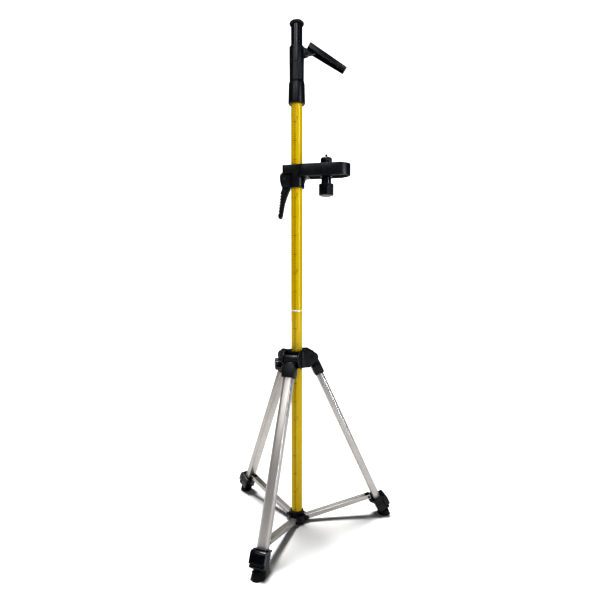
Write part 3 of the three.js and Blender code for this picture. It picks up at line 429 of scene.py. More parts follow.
def cross_hole(x, z, radius=PIN_HOLE_R, reach=30):
    """Cutter for a hole along Y."""
    return shifted(rod(radius, -reach, reach, 24, axis="Y"), x, 0, z)


def arc(cx, cy, radius, start, end, steps):
    angles = [math.radians(start + (end - start) * i / steps) for i in range(steps + 1)]
    return [(cx + radius * math.cos(a), cy + radius * math.sin(a)) for a in angles]


def rounded_box(x0, x1, half, outer, inner, steps=8):
    return [
        *arc(x1 - outer, -half + outer, outer, -90, 0, steps),
        *arc(x1 - outer, half - outer, outer, 0, 90, steps),
        *arc(x0 + inner, half - inner, inner, 90, 180, steps),
        *arc(x0 + inner, -half + inner, inner, 180, 270, steps),
    ]


def leg_profile(grow):
    half = TUBE_DEPTH / 2 + grow
    return rounded_box(-half, half, TUBE_WIDTH / 2 + grow, 9 + grow, max(1, 3 + grow))


# ---- placing ----------------------------------------------------------------------------


def leg_angle(i):
    return 2 * math.pi * i / LEGS


def spoke(i):
    return Matrix.Rotation(leg_angle(i), 4, "Z")


def leg_frame(i):
    pivot = Matrix.Translation((LEG_PIVOT_R, 0, LEG_PIVOT_Z))
    return spoke(i) @ pivot @ Matrix.Rotation(-LEG_TILT, 4, "Y")


BRACKET = Matrix.Rotation(BRACKET_AZIMUTH, 4, "Z")
MOUNT = BRACKET @ Matrix.Translation((SCREW_X, 0, 0))
HERE = Matrix.Identity(4)


def piece(obj, name, body, material, place=HERE, replaces=(), smooth=38):
    """Names, scales, smooths and places a finished shape, and rides it on its CAD body."""
    mesh = obj.data
    mesh.transform(Matrix.Scale(MM, 4))
    mesh.polygons.foreach_set("use_smooth", [True] * len(mesh.polygons))
    mesh.set_sharp_from_angle(angle=math.radians(smooth))
    mesh.materials.clear()
    mesh.materials.append(material)
    mesh.name = name
    obj.name = name
    where = place.copy()
    where.translation *= MM
    obj.matrix_world = where
    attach(obj, body)
    for node in replaces:
        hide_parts(node)
    return obj


def headed_pin(radius, half, head_radius, x, z):
    """Rivet along Y: a shaft with a domed head at each end."""
    profile = [
        (0, -half), (head_radius * 0.55, -half + 0.1), (head_radius * 0.85, -half + 0.4),
        (head_radius, -half + PIN_HEAD_T - 0.2), (head_radius, -half + PIN_HEAD_T),
        (radius, -half + PIN_HEAD_T),
    ]
    profile += [(r, -z0) for r, z0 in reversed(profile)]
    return shifted(lathe(profile, 32, axis="Y"), x, 0, z)


# ---- pole -------------------------------------------------------------------------------


def pole_tube(bottom, top):
    profile = [
        (POLE_BORE_R, bottom), (POLE_R - 0.3, bottom), (POLE_R, bottom + 0.3), (POLE_R, top - 0.3),
        (POLE_R - 0.3, top), (POLE_BORE_R, top), (POLE_BORE_R, bottom),
    ]
    return lathe(profile, FINE)


def build_pole():
    lower = pole_tube(POLE_FOOT_Z, POLE_JOINT_Z)
    piece(lower, "lower_pole", "pole", YELLOW, replaces=["pole_lower"])
    upper = pole_tube(POLE_JOINT_Z + 4.6, POLE_TOP_Z)
    piece(upper, "upper_pole", "pole", YELLOW, replaces=["pole_upper"])
    low, high, spigot = POLE_JOINT_Z + GAP, POLE_JOINT_Z + 4.3, POLE_BORE_R - GAP
    profile = [
        (spigot - 2, low - 28), (spigot, low - 28), (spigot, low), (14.8, low), (15.2, low + 0.4),
        (15.2, low + 1.2), (14.9, low + 1.6), (14.9, high - 1.6), (15.2, high - 1.2),
        (15.2, high - 0.4), (14.8, high), (spigot, high), (spigot, high + 28),
        (spigot - 2, high + 28), (spigot - 2, low - 28),
    ]
    ring = lathe(profile, FINE)
    piece(ring, "joint_ring", "pole", RING, replaces=["pole_joint_ring"])


def numeral(text, height_mm, z):
    """A number printed along the pole, wrapped round it, reading upward."""
    curve = bpy.data.curves.new("numeral", "FONT")
    curve.body = text
    curve.size = height_mm
    curve.align_x = "LEFT"
    curve.align_y = "CENTER"
    curve.extrude = INK_THICKNESS
    flat = bpy.data.objects.new("numeral", curve)
    bpy.context.scene.collection.objects.link(flat)
    bpy.context.view_layer.update()
    graph = bpy.context.evaluated_depsgraph_get()
    mesh = bpy.data.meshes.new_from_object(flat.evaluated_get(graph))
    bpy.data.objects.remove(flat)
    bm = bmesh.new()
    bm.from_mesh(mesh)
    bmesh.ops.remove_doubles(bm, verts=bm.verts, dist=0.001)
    # Cuts every half millimetre let the flat text follow the curve.
    for half_mm in range(-6, 7):
        geometry = bm.verts[:] + bm.edges[:] + bm.faces[:]
        bmesh.ops.bisect_plane(bm, geom=geometry, plane_co=(0, half_mm / 2, 0), plane_no=(0, 1, 0))
    for v in bm.verts:
        # Text runs along the pole; its height runs round it.
        angle = NUMERAL_AZIMUTH - v.co.y / POLE_R
        radius = POLE_R + NUMERAL_LIFT + v.co.z
        v.co = (radius * math.cos(angle), radius * math.sin(angle), z + v.co.x)
    bmesh.ops.recalc_face_normals(bm, faces=bm.faces)
    bm.to_mesh(mesh)
    bm.free()
    obj = bpy.data.objects.new("numeral", mesh)
    bpy.context.scene.collection.objects.link(obj)
    return obj


def build_numerals():
    for i in range(NUMERALS):
        text = str(NUMERAL_COUNTS * (i + 1))
        printed = numeral(text, NUMERAL_HEIGHT, NUMERAL_START_Z + NUMERAL_STEP * i)
        piece(printed, f"scale_numeral_{i + 1}", "pole", INK)


# ---- base hub and arms ------------------------------------------------------------------


def build_hub():
    profile = [(0, HUB_BOTTOM_Z), (HUB_BODY_R - 1.5, HUB_BOTTOM_Z)]
    profile += arc(HUB_BODY_R - 1.5, HUB_BOTTOM_Z + 1.5, 1.5, -90, 0, 3)
    profile += arc(HUB_BODY_R - 2, HUB_BODY_TOP_Z - 2, 2, 0, 90, 4)
    profile += [(HUB_R, HUB_BODY_TOP_Z + 1.5), (HUB_R, HUB_TOP_Z - 5)]
    profile += arc(HUB_RIM_R - 0.7, HUB_TOP_Z - 3.6, 0.7, -60, 0, 2)
    profile += arc(HUB_RIM_R - 0.9, HUB_TOP_Z - 0.9, 0.9, 0, 90, 3)
    profile += [(0, HUB_TOP_Z)]
    hub = lathe(profile, FINE)
    half = ARM_W / 2 + 0.4
    low, high = (HUB_R, -half, -2), (40, half, HUB_BODY_TOP_Z + 1.4)
    cut(hub, *[turned_z(box(low, high), leg_angle(i)) for i in range(LEGS)])
    outline = [(HUB_R - 3, HUB_BOTTOM_Z), (HUB_PIVOT_R, HUB_PIVOT_Z - HUB_EAR_R)]
    outline += arc(HUB_PIVOT_R, HUB_PIVOT_Z, HUB_EAR_R, -80, 80, 16)
    outline += [(HUB_PIVOT_R, HUB_PIVOT_Z + HUB_EAR_R), (HUB_R - 3, HUB_BODY_TOP_Z)]
    ears = []
    for i in range(LEGS):
        ears += [turned_z(ear, leg_angle(i)) for ear in pair(outline, half, HUB_EAR_T, 0.6)]
    join(hub, *ears)
    holes = [turned_z(cross_hole(HUB_PIVOT_R, HUB_PIVOT_Z), leg_angle(i)) for i in range(LEGS)]
    cut(hub, *holes, rod(POLE_SEAT_R, POLE_FOOT_Z - GAP, HUB_TOP_Z + 1, FINE))
    piece(hub, "hub", "pole", BLACK, replaces=["base_hub"])
    pin_half = half + HUB_EAR_T + GAP + PIN_HEAD_T
    for i in range(LEGS):
        pin = headed_pin(PIN_R, pin_half, PIN_HEAD_R, HUB_PIVOT_R, HUB_PIVOT_Z)
        piece(pin, f"hub_rivet_{i + 1}", "pole", STEEL, spoke(i), [f"hub_pin_{i + 1}"])


BRACE_R = LEG_PIVOT_R + BRACE_AT * math.sin(LEG_TILT) - BRACE_IN * math.cos(LEG_TILT)
BRACE_Z = LEG_PIVOT_Z - BRACE_AT * math.cos(LEG_TILT) - BRACE_IN * math.sin(LEG_TILT)
ARM_LENGTH = math.hypot(BRACE_R - HUB_PIVOT_R, BRACE_Z - HUB_PIVOT_Z)
ARM_SLOPE = math.atan2(BRACE_Z - HUB_PIVOT_Z, BRACE_R - HUB_PIVOT_R)


def arm_section():
    half, top = ARM_W / 2, ARM_UP
    right = [
        (half - ARM_WALL, -ARM_DOWN + 0.2), (half - ARM_WALL + 0.2, -ARM_DOWN),
        (half - 0.2, -ARM_DOWN), (half, -ARM_DOWN + 0.2), (half, -1.2), (half - 0.35, -0.9),
        (half - 0.35, 0.9), (half, 1.2), *arc(half - 1.1, top - 1.1, 1.1, 0, 90, 4),
        (4.8, top), (4.55, top + 0.5), (3.45, top + 0.5), (3.2, top), (1.4, top), (1.1, top - 0.4),
    ]
    inner = [(half - ARM_WALL, top - ARM_WALL - 0.4), (half - ARM_WALL - 0.4, top - ARM_WALL)]
    left = [(-y, z) for y, z in reversed(right)]
    left_inner = [(-y, z) for y, z in inner]
    return [*right, *left, *left_inner, *reversed(inner)]


def build_arm(i):
    arm = prism(arm_section(), -ARM_TAIL, ARM_LENGTH + ARM_TAIL, 0, "X")
    inside = ARM_W / 2 - ARM_WALL
    fork_low = (ARM_LENGTH - ARM_FORK, -inside, -ARM_DOWN - 1)
    cut(arm, box(fork_low, (ARM_LENGTH + ARM_TAIL + 1, inside, ARM_UP + 1)))
    cut(arm, *[cross_hole(x, 0, reach=12) for x in (0, ARM_LENGTH)])
    pivot = Matrix.Translation((HUB_PIVOT_R, 0, HUB_PIVOT_Z))
    place = spoke(i) @ pivot @ Matrix.Rotation(-ARM_SLOPE, 4, "Y")
    tag = i + 1
    piece(arm, f"brace_{tag}", f"arm_{tag}", RIBBED, place, [f"spreader_arm_{tag}"])


# ---- legs -------------------------------------------------------------------------------


def profile_tube(outer, inner, low, high, lip):
    body = prism(leg_profile(outer), low, high, lip)
    return cut(body, prism(leg_profile(inner), low - 1, high + 1))


def build_knuckle(i):
    barrel = rod(KNUCKLE_BARREL_R, -KNUCKLE_HALF_W, KNUCKLE_HALF_W, 64, 1.0, "Y")
    outline = [(-SOCKET_HALF_W, -SOCKET_END), (SOCKET_HALF_W, -SOCKET_END)]
    outline += arc(0, -SOCKET_TOP - SOCKET_HALF_W, SOCKET_HALF_W, 0, 180, 32)
    slab = prism(outline, -SOCKET_HALF_D, SOCKET_HALF_D, 2.6, "X", 4)
    rim_outline = rounded_box(-SOCKET_HALF_D, SOCKET_HALF_D, SOCKET_HALF_W, 4, 3)
    rim = prism(rim_outline, -SOCKET_END, -SOCKET_END + 3.2, 0.8)
    neck = box((-NECK_HALF_D, -NECK_HALF_W, -NECK_END), (NECK_HALF_D, NECK_HALF_W, 0), 1.2)
    join(barrel, neck, slab, rim)
    cavity = prism(leg_profile(GAP), -SOCKET_END - 1, -TUBE_START + GAP)
    cut(barrel, cavity, cross_hole(0, 0, WIDE_HOLE_R, 25))
    tag, place = i + 1, leg_frame(i)
    piece(barrel, f"knuckle_{tag}", f"leg_{tag}", BLACK, place, [f"leg_knuckle_{tag}"])
    pin = rod(WIDE_PIN_R, -KNUCKLE_HALF_W + GAP, KNUCKLE_HALF_W - GAP, 24, 0.4, "Y")
    piece(pin, f"knuckle_rivet_{tag}", f"leg_{tag}", STEEL, place, [f"knuckle_pin_{tag}"])


def build_clamp(i):
    flange_end = CLAMP_START + CLAMP_FLANGE_T
    flange_outline = rounded_box(-CLAMP_IN - 3, CLAMP_OUT + 3.5, CLAMP_HALF_W + 1, 5, 4)
    flange = prism(flange_outline, -flange_end, -CLAMP_START, 0.9)
    latch_room = LATCH_PAD_HALF_W + 1
    above = -CLAMP_START + 52
    cut(flange, box((CLAMP_OUT + 0.2, -latch_room, -flange_end - 1), (30, latch_room, above)))
    body_outline = rounded_box(-CLAMP_IN, CLAMP_OUT, CLAMP_HALF_W, 2, 4)
    body = prism(body_outline, -CLAMP_END, -flange_end + 1, 0.9)
    ridge_outline = rounded_box(-CLAMP_IN - 0.7, CLAMP_OUT, CLAMP_HALF_W + 0.7, 2, 4.7)
    ridge_tops = (-CLAMP_START - 11, -CLAMP_START - 18)
    ridges = [prism(ridge_outline, top - 2.2, top, 0.5) for top in ridge_tops]
    clamp = join(body, flange, *ridges)
    slot = ARM_W / 2 + 0.7
    cut(clamp, box((-40, -slot, -CLAMP_END - 1), (-ARM_SLOT, slot, -CLAMP_START + 1)))
    tab_outline = [
        (-TUBE_DEPTH / 2 - GAP, -flange_end - 14), (-TUBE_DEPTH / 2 - GAP, -BRACE_AT + 2),
        *arc(-BRACE_IN, -BRACE_AT, TAB_R, 60, 190, 16), (-BRACE_IN - TAB_NECK, -BRACE_AT - 8),
        (-BRACE_IN - TAB_NECK, -flange_end), (-CLAMP_IN + 1, -flange_end - 14),
    ]
    tab = prism(tab_outline, -TAB_HALF_W, TAB_HALF_W, 0.6, "Y")
    lug_outline = [
        (CLAMP_OUT - 1, -LATCH_AT + LUG_R), (LATCH_OUT, -LATCH_AT + LUG_R),
        *arc(LATCH_OUT, -LATCH_AT, LUG_R, 80, -60, 16), (CLAMP_OUT - 1, -CLAMP_END),
    ]
    lug_inner = LATCH_HALF_W + 0.4
    join(clamp, tab, *pair(lug_outline, lug_inner, CLAMP_HALF_W - lug_inner, 0.5))
    cut(
        clamp,
        prism(leg_profile(GAP), -TUBE_END - GAP, -CLAMP_START + 30),
        prism(leg_profile(-TUBE_WALL - 0.1), -CLAMP_END - 1, -TUBE_END + 1),
        cross_hole(-BRACE_IN, -BRACE_AT),
        cross_hole(LATCH_OUT, -LATCH_AT),
    )
    tag, place = i + 1, leg_frame(i)
    piece(clamp, f"clamp_{tag}", f"leg_{tag}", BLACK, place, [f"leg_clamp_{tag}"])


def build_latch(i):
    back, out = CLAMP_OUT + 0.5, LATCH_PAD_OUT
    top, pad_bottom = -LATCH_PAD_TOP, -LATCH_AT + LUG_R + 0.7
    pad_outline = [(back, pad_bottom), (out, pad_bottom), (out, top - 8)]
    pad_outline += [
        (out - 0.6, top - 4.5), (out - 2.4, top - 1.2), (out - 4.4, top), (back + 1.5, top),
        (back, top - 2),
    ]
    pad = prism(pad_outline, -LATCH_PAD_HALF_W, LATCH_PAD_HALF_W, 0.9, "Y", 3)
    grooves = [
        prism([(out - 0.8, z), (out + 1, z), (out + 1, z + 1.4), (out - 0.8, z + 1.4)], -12, 12, 0, "Y")
        for z in (top - 20, top - 16.5, top - 13)
    ]
    cut(pad, *grooves)
    neck_outline = [
        (back + 0.6, pad_bottom + 1), (back + 0.6, -LATCH_AT + 1), (out - 1.5, -LATCH_AT + 2),
        (out - 1.5, pad_bottom + 1),
    ]
    neck = prism(neck_outline, -LATCH_HALF_W, LATCH_HALF_W, 0.4, "Y")
    cam = rod(LATCH_CAM_R, -LATCH_HALF_W, LATCH_HALF_W, 40, 0.5, "Y")
    join(pad, neck, shifted(cam, LATCH_OUT, 0, -LATCH_AT))
    cut(pad, cross_hole(LATCH_OUT, -LATCH_AT))
    tag, place = i + 1, leg_frame(i)
    piece(pad, f"flip_latch_{tag}", f"latch_{tag}", GLOSSY, place, [f"latch_lever_{tag}"])


def build_foot(i):
    below = -FOOT_START - 46
    profile = [(0, below), (FOOT_R, below), (FOOT_R, -FOOT_START - 12)]
    for at in (11, 8.2):
        profile += [(FOOT_R, -FOOT_START - at), (FOOT_R - 0.8, -FOOT_START - at + 0.7)]
        profile += [(FOOT_R - 0.8, -FOOT_START - at + 1.3), (FOOT_R, -FOOT_START - at + 2)]
    profile += arc(FOOT_R - 1.2, -FOOT_START - 5.2, 1.2, 0, 90, 4)
    profile += [
        (FOOT_R - 3, -FOOT_START - 3.6), (FOOT_R - 3, -FOOT_START - 0.4), (FOOT_R - 3.4, -FOOT_START),
        (0, -FOOT_START),
    ]
    boot = lathe(profile, 64)
    join(boot, prism(leg_profile(-0.4), -FOOT_START - 10, -FOOT_START + 2, 0.6))
    cut(boot, prism(leg_profile(-TUBE_WALL - 0.1), -INNER_END - GAP, -FOOT_START + 20))
    # The sole is cut level with the floor, with the leg at its tilt.
    boot.data.transform(leg_frame(0))
    cut(boot, box((100, -60, -80), (400, 60, 0)))
    tag = i + 1
    piece(boot, f"rubber_foot_{tag}", f"lower_leg_{tag}", RUBBER, spoke(i), [f"foot_{tag}"])


def build_leg(i):
    tag, place = i + 1, leg_frame(i)
    tube = profile_tube(0, -TUBE_WALL, -TUBE_END, -TUBE_START, 0.25)
    piece(tube, f"leg_outer_{tag}", f"leg_{tag}", SATIN, place, [f"leg_tube_{tag}"])
    inner = profile_tube(-TUBE_WALL - 0.4, -TUBE_WALL - 1.6, -INNER_END, -INNER_START, 0.2)
    piece(
        inner, f"leg_inner_{tag}", f"lower_leg_{tag}", SATIN, place,
        [f"inner_leg_{tag}"],
    )
    build_knuckle(i)
    build_clamp(i)
    build_latch(i)
    build_foot(i)
    latch_pin = rod(PIN_R, -CLAMP_HALF_W - 0.5, CLAMP_HALF_W + 0.5, 24, 0.4, "Y")
    shifted(latch_pin, LATCH_OUT, 0, -LATCH_AT)
    piece(latch_pin, f"latch_rivet_{tag}", f"leg_{tag}", STEEL, place, [f"latch_pin_{tag}"])
    brace_pin = headed_pin(PIN_R, ARM_W / 2 + GAP + PIN_HEAD_T, PIN_HEAD_R, -BRACE_IN, -BRACE_AT)
    piece(brace_pin, f"brace_rivet_{tag}", f"leg_{tag}", STEEL, place, [f"arm_pin_{tag}"])


# ---- crown ------------------------------------------------------------------------------


def build_crown():
    profile = [(0, CROWN_BOTTOM_Z), (CROWN_R - 2, CROWN_BOTTOM_Z)]
    profile += arc(CROWN_R - 2, CROWN_BOTTOM_Z + 2, 2, -90, 0, 4)
    profile += arc(CROWN_R - 1.5, CROWN_TOP_Z - 1.5, 1.5, 0, 90, 4)
    profile += [(CROWN_R - 5.5, CROWN_TOP_Z - 0.7), (CROWN_BORE_R + 3, CROWN_TOP_Z - 3)]
    profile += [
        (CROWN_BORE_R + 1.2, CROWN_TOP_Z - 4), (CROWN_BORE_R + 1, CROWN_TOP_Z - 4.5),
        (0, CROWN_TOP_Z - 4.5),
    ]
    crown = lathe(profile, FINE)
    pocket_low = (CROWN_POCKET_R, -EAR_INNER_Y, CROWN_BOTTOM_Z - 1)
    pocket_high = (CROWN_R + 1, EAR_INNER_Y, EAR_TOP_Z + 1)
    cut(crown, *[turned_z(box(pocket_low, pocket_high), leg_angle(i)) for i in range(LEGS)])
    outline = [(14, CROWN_BOTTOM_Z), (32, CROWN_BOTTOM_Z)]
    outline += arc(LEG_PIVOT_R, LEG_PIVOT_Z, EAR_R, -62, 76, 28)
    outline += [(34, EAR_TOP_Z), (14, EAR_TOP_Z)]
    additions = []
    sockets = []
    ear_face = EAR_INNER_Y + EAR_T
    for i in range(LEGS):
        for side, ear in zip((-1, 1), pair(outline, EAR_INNER_Y, EAR_T, 1.0, 3)):
            head = shifted(rod(6, -1, 1, 40, 0.6, "Y"), LEG_PIVOT_R, side * (ear_face + 0.8), LEG_PIVOT_Z)
            additions += [turned_z(ear, leg_angle(i)), turned_z(head, leg_angle(i))]
            hexagon = lathe([(0, -0.8), (2.9, -0.8), (2.9, 0.8), (0, 0.8)], 6, axis="Y")
            shifted(hexagon, LEG_PIVOT_R, side * (ear_face + 1.9), LEG_PIVOT_Z)
            sockets.append(turned_z(hexagon, leg_angle(i)))
    boss = rod(8.5, -CROWN_BOSS_END, -20, 48, 0.8, "X")
    additions.append(shifted(boss, z=CROWN_KNOB_Z))
    join(crown, *additions)
    bore = rod(CROWN_BORE_R, CROWN_BOTTOM_Z - 1, EAR_TOP_Z + 1, FINE)
    screw_hole = shifted(rod(CROWN_SCREW_HOLE_R, -50, -10, 32, axis="X"), z=CROWN_KNOB_Z)
    cut(crown, bore, screw_hole, *sockets)
    piece(crown, "spider", "crown", BLACK, replaces=["crown"])


def lobed(radius, lobes, depth, low, high, sharp=2.0):
    """Radius rule for lathe: rounded flutes between two heights."""

    def shape(r, angle, z):
        if r < radius - 2.2 or not low <= z <= high:
            return r
        return r - depth * (0.5 + 0.5 * math.cos(lobes * angle)) ** sharp

    return shape


def build_crown_knob():
    start, end, r = CROWN_GRIP_START, CROWN_GRIP_END, CROWN_GRIP_R
    profile = [
        (0, CROWN_BOSS_END + 0.4), (6.2, CROWN_BOSS_END + 0.4), (6.5, CROWN_BOSS_END + 0.8),
        (6.5, start),
    ]
    profile += arc(r - 1.2, start + 1.2, 1.2, -90, 0, 4)
    profile += arc(r - 2.8, end - 2.8, 2.8, 0, 90, 6)
    profile += [(r - 5, end), (r - 5.6, end - 0.9), (4, end - 1.2), (0, end - 1.2)]
    knob = lathe(profile, 128, lobed(r, 8, 1.8, start, end, 1.5))
    cut(knob, rod(CROWN_SCREW_HOLE_R, CROWN_BOSS_END, end - 6, 32))
    place = Matrix.Translation((0, 0, CROWN_KNOB_Z)) @ Matrix.Rotation(-math.pi / 2, 4, "Y")
    piece(knob, "crown_grip", "crown_knob", GLOSSY, place, ["crown_knob"])
    stud = threaded(3.0, POLE_R + 1.2, end - 6.3, 1.0)
    piece(stud, "crown_stud", "crown_knob", STEEL, place, ["crown_screw"])


def threaded(radius, bottom, top, pitch):
    """Rod with a helical thread cut into it, ends chamfered."""
    segments, per_pitch = 24, 6
    rows = int((top - bottom) / pitch * per_pitch)
    depth = pitch * 0.5
    vertices, faces = [(0, 0, bottom)], []
    for k in range(rows + 1):
        z = bottom + (top - bottom) * k / rows
        ends = min(z - bottom, top - z)
        for i in range(segments):
            phase = (z / pitch - i / segments) % 1.0
            r = radius - depth * abs(2 * phase - 1) - max(0.0, 0.8 - ends) * 0.6
            a = 2 * math.pi * i / segments
            vertices.append((r * math.cos(a), r * math.sin(a), z))
    for k in range(rows):
        for i in range(segments):
            j = (i + 1) % segments
            a, b = 1 + k * segments, 1 + (k + 1) * segments
            faces.append((a + i, a + j, b + j, b + i))
    last = len(vertices)
    vertices.append((0, 0, top))
    for i in range(segments):
        j = (i + 1) % segments
        faces.append((0, 1 + j, 1 + i))
        faces.append((last, 1 + rows * segments + i, 1 + rows * segments + j))
    return new_object("thread", vertices, faces)


# ---- head -------------------------------------------------------------------------------


def build_head():
    low, high, r = COLLAR_BOTTOM_Z, COLLAR_TOP_Z, COLLAR_R
    profile = [(POLE_SEAT_R, low), (r - 2, low)]
    profile += [(r - 1.2, low + 0.4), (r - 0.2, low + 2.6), (r, low + 4)]
    profile += [(r - 1.1, high - 8), (r - 1.3, high - 6.2), (r - 1.7, high - 5)]
    profile += [(r - 2.9, high - 0.6), (r - 3.2, high), (POLE_SEAT_R, high), (POLE_SEAT_R, low)]
    piece(lathe(profile, FINE), "lower_collar", "pole", BLACK, replaces=["head_collar"])

    bottom = COLLAR_TOP_Z + GAP
    flat_low, flat_high = bottom + 3, SLEEVE_FLAT_TOP_Z - 4

    def flats(radius, angle, z):
        if radius < SLEEVE_R - 1.5 or not flat_low <= z <= flat_high:
            return radius
        turn = (angle * 8 / (2 * math.pi)) % 1.0 - 0.5
        flat = (SLEEVE_R - 1.25) / math.cos(turn * math.pi / 4)
        return min(radius, flat) if abs(turn) < 0.38 else radius

    profile = [(POLE_SEAT_R, bottom), (SLEEVE_R - 0.6, bottom), (SLEEVE_R - 0.4, bottom + 0.3)]
    profile += [(SLEEVE_R - 0.35, flat_low - 0.3), (SLEEVE_R - 0.35, flat_low)]
    profile += [(SLEEVE_R - 0.1, flat_high), (SLEEVE_R, flat_high + 0.6)]
    profile += arc(SLEEVE_R - 1.8, SLEEVE_TOP_Z - 1.8, 1.8, 0, 90, 5)
    profile += [
        (POLE_SEAT_R + 0.5, SLEEVE_TOP_Z), (POLE_SEAT_R, SLEEVE_TOP_Z - 0.5), (POLE_SEAT_R, bottom),
    ]
    sleeve = lathe(profile, 192, flats)
    ear_outline = [(SLEEVE_R - 3, LEVER_PIVOT_Z - 12)]
    ear_outline += arc(LEVER_PIVOT_X, LEVER_PIVOT_Z, LEVER_EAR_R, -60, 80, 20)
    ear_outline += [(SLEEVE_R - 3, LEVER_PIVOT_Z + 12)]
    join(sleeve, *pair(ear_outline, LEVER_NECK_HALF_W + 0.4, 3.5, 0.6))
    hole = cross_hole(LEVER_PIVOT_X, LEVER_PIVOT_Z)
    cut(sleeve, hole, rod(POLE_SEAT_R, bottom - 1, SLEEVE_TOP_Z + 1, FINE))
    piece(sleeve, "fluted_sleeve", "pole", BLACK, replaces=["head_sleeve"], smooth=30)

    bore = PLUNGER_BORE_R
    profile = [
        (bore, PLUNGER_BOTTOM_Z), (POLE_R - 0.4, PLUNGER_BOTTOM_Z), (POLE_R, PLUNGER_BOTTOM_Z + 0.4),
    ]
    profile += [
        (POLE_R, PLUNGER_TOP_Z - 0.4), (POLE_R - 0.4, PLUNGER_TOP_Z), (bore, PLUNGER_TOP_Z),
        (bore, PLUNGER_BOTTOM_Z),
    ]
    tube = lathe(profile, FINE)
    piece(tube, "extending_tube", "plunger", GLOSSY, replaces=["plunger_tube"])

    z, top, r = PLUNGER_TOP_Z, CAP_TOP_Z, CAP_R
    profile = [
        (0, z - 12), (bore - 0.8, z - 12), (bore - 0.3, z - 11), (bore - 0.3, z + 0.3),
        (r - 2.6, z + 0.3),
    ]
    profile += [
        (r - 1.6, z + 0.7), (r - 0.5, z + 2.2), (r, z + 4.4), (r - 0.1, z + 5.6), (r - 0.8, z + 6.4),
    ]
    profile += [(r - 1.8, z + 6.6), (r - 2.2, z + 7.2), (r - 2.6, z + 8.2), (r - 4.6, top - 3.2)]
    profile += [(r - 7.6, top - 1.7), (r - 10.6, top - 0.7), (6, top), (0, top)]
    piece(lathe(profile, FINE), "end_cap", "plunger", RUBBER, replaces=["top_cap"], smooth=50)

    build_top_lever()
    pin = headed_pin(
        PIN_R, LEVER_NECK_HALF_W + 4.2 + PIN_HEAD_T, PIN_HEAD_R, LEVER_PIVOT_X, LEVER_PIVOT_Z,
    )
    piece(pin, "lever_rivet", "pole", STEEL, replaces=["top_lever_pin"])


def build_top_lever():
    along = (math.cos(LEVER_SLOPE), math.sin(LEVER_SLOPE))
    down = (math.sin(LEVER_SLOPE), -math.cos(LEVER_SLOPE))

    def at(distance, depth):
        x, z = LEVER_START
        return (x + along[0] * distance + down[0] * depth, z + along[1] * distance + down[1] * depth)

    length = LEVER_LENGTH
    side = [at(0, 15), at(length, 8), at(length, 1.5), at(length - 1.5, 0), at(0, 0)]
    lever = prism(side, -LEVER_HALF_W, LEVER_HALF_W, 0.8, "Y", 3)
    inside = LEVER_HALF_W - LEVER_WALL
    hollow = [
        at(LEVER_WALL, 30), at(length - LEVER_WALL, 30), at(length - LEVER_WALL, LEVER_WALL),
        at(LEVER_WALL, LEVER_WALL),
    ]
    cut(lever, prism(hollow, -inside, inside, 0, "Y"))
    ribs = [
        prism([at(x, 1), at(x, 6.2), at(x + 1.4, 6.2), at(x + 1.4, 1)], -inside - 1, inside + 1, 0, "Y")
        for x in (48, 70, 92)
    ]
    spine = prism([at(20, 1), at(20, 6.6), at(length - 1.5, 5), at(length - 1.5, 1)], -0.8, 0.8, 0, "Y")
    neck_outline = [
        at(26, 13), at(26, 1), at(1, 1), *arc(LEVER_PIVOT_X, LEVER_PIVOT_Z, 6.8, 140, 290, 24),
    ]
    neck = prism(neck_outline, -LEVER_NECK_HALF_W, LEVER_NECK_HALF_W, 0.6, "Y")
    join(lever, neck, *ribs, spine)
    cut(lever, cross_hole(LEVER_PIVOT_X, LEVER_PIVOT_Z))
    piece(lever, "lock_lever", "top_lever", BLACK, replaces=["top_lever"])


# ---- instrument bracket -----------------------------------------------------------------


def slab_outline(inset):
    half, end = SLAB_HALF_W - inset, SLAB_END - inset
    upper = [
        (10, half - 4), (24, half), (end - 25, half), (end - 11, half - 8.5), (end - 3, half - 17),
        (end, 0),
    ]
    return [*upper, *[(x, -y) for x, y in reversed(upper[:-1])]]


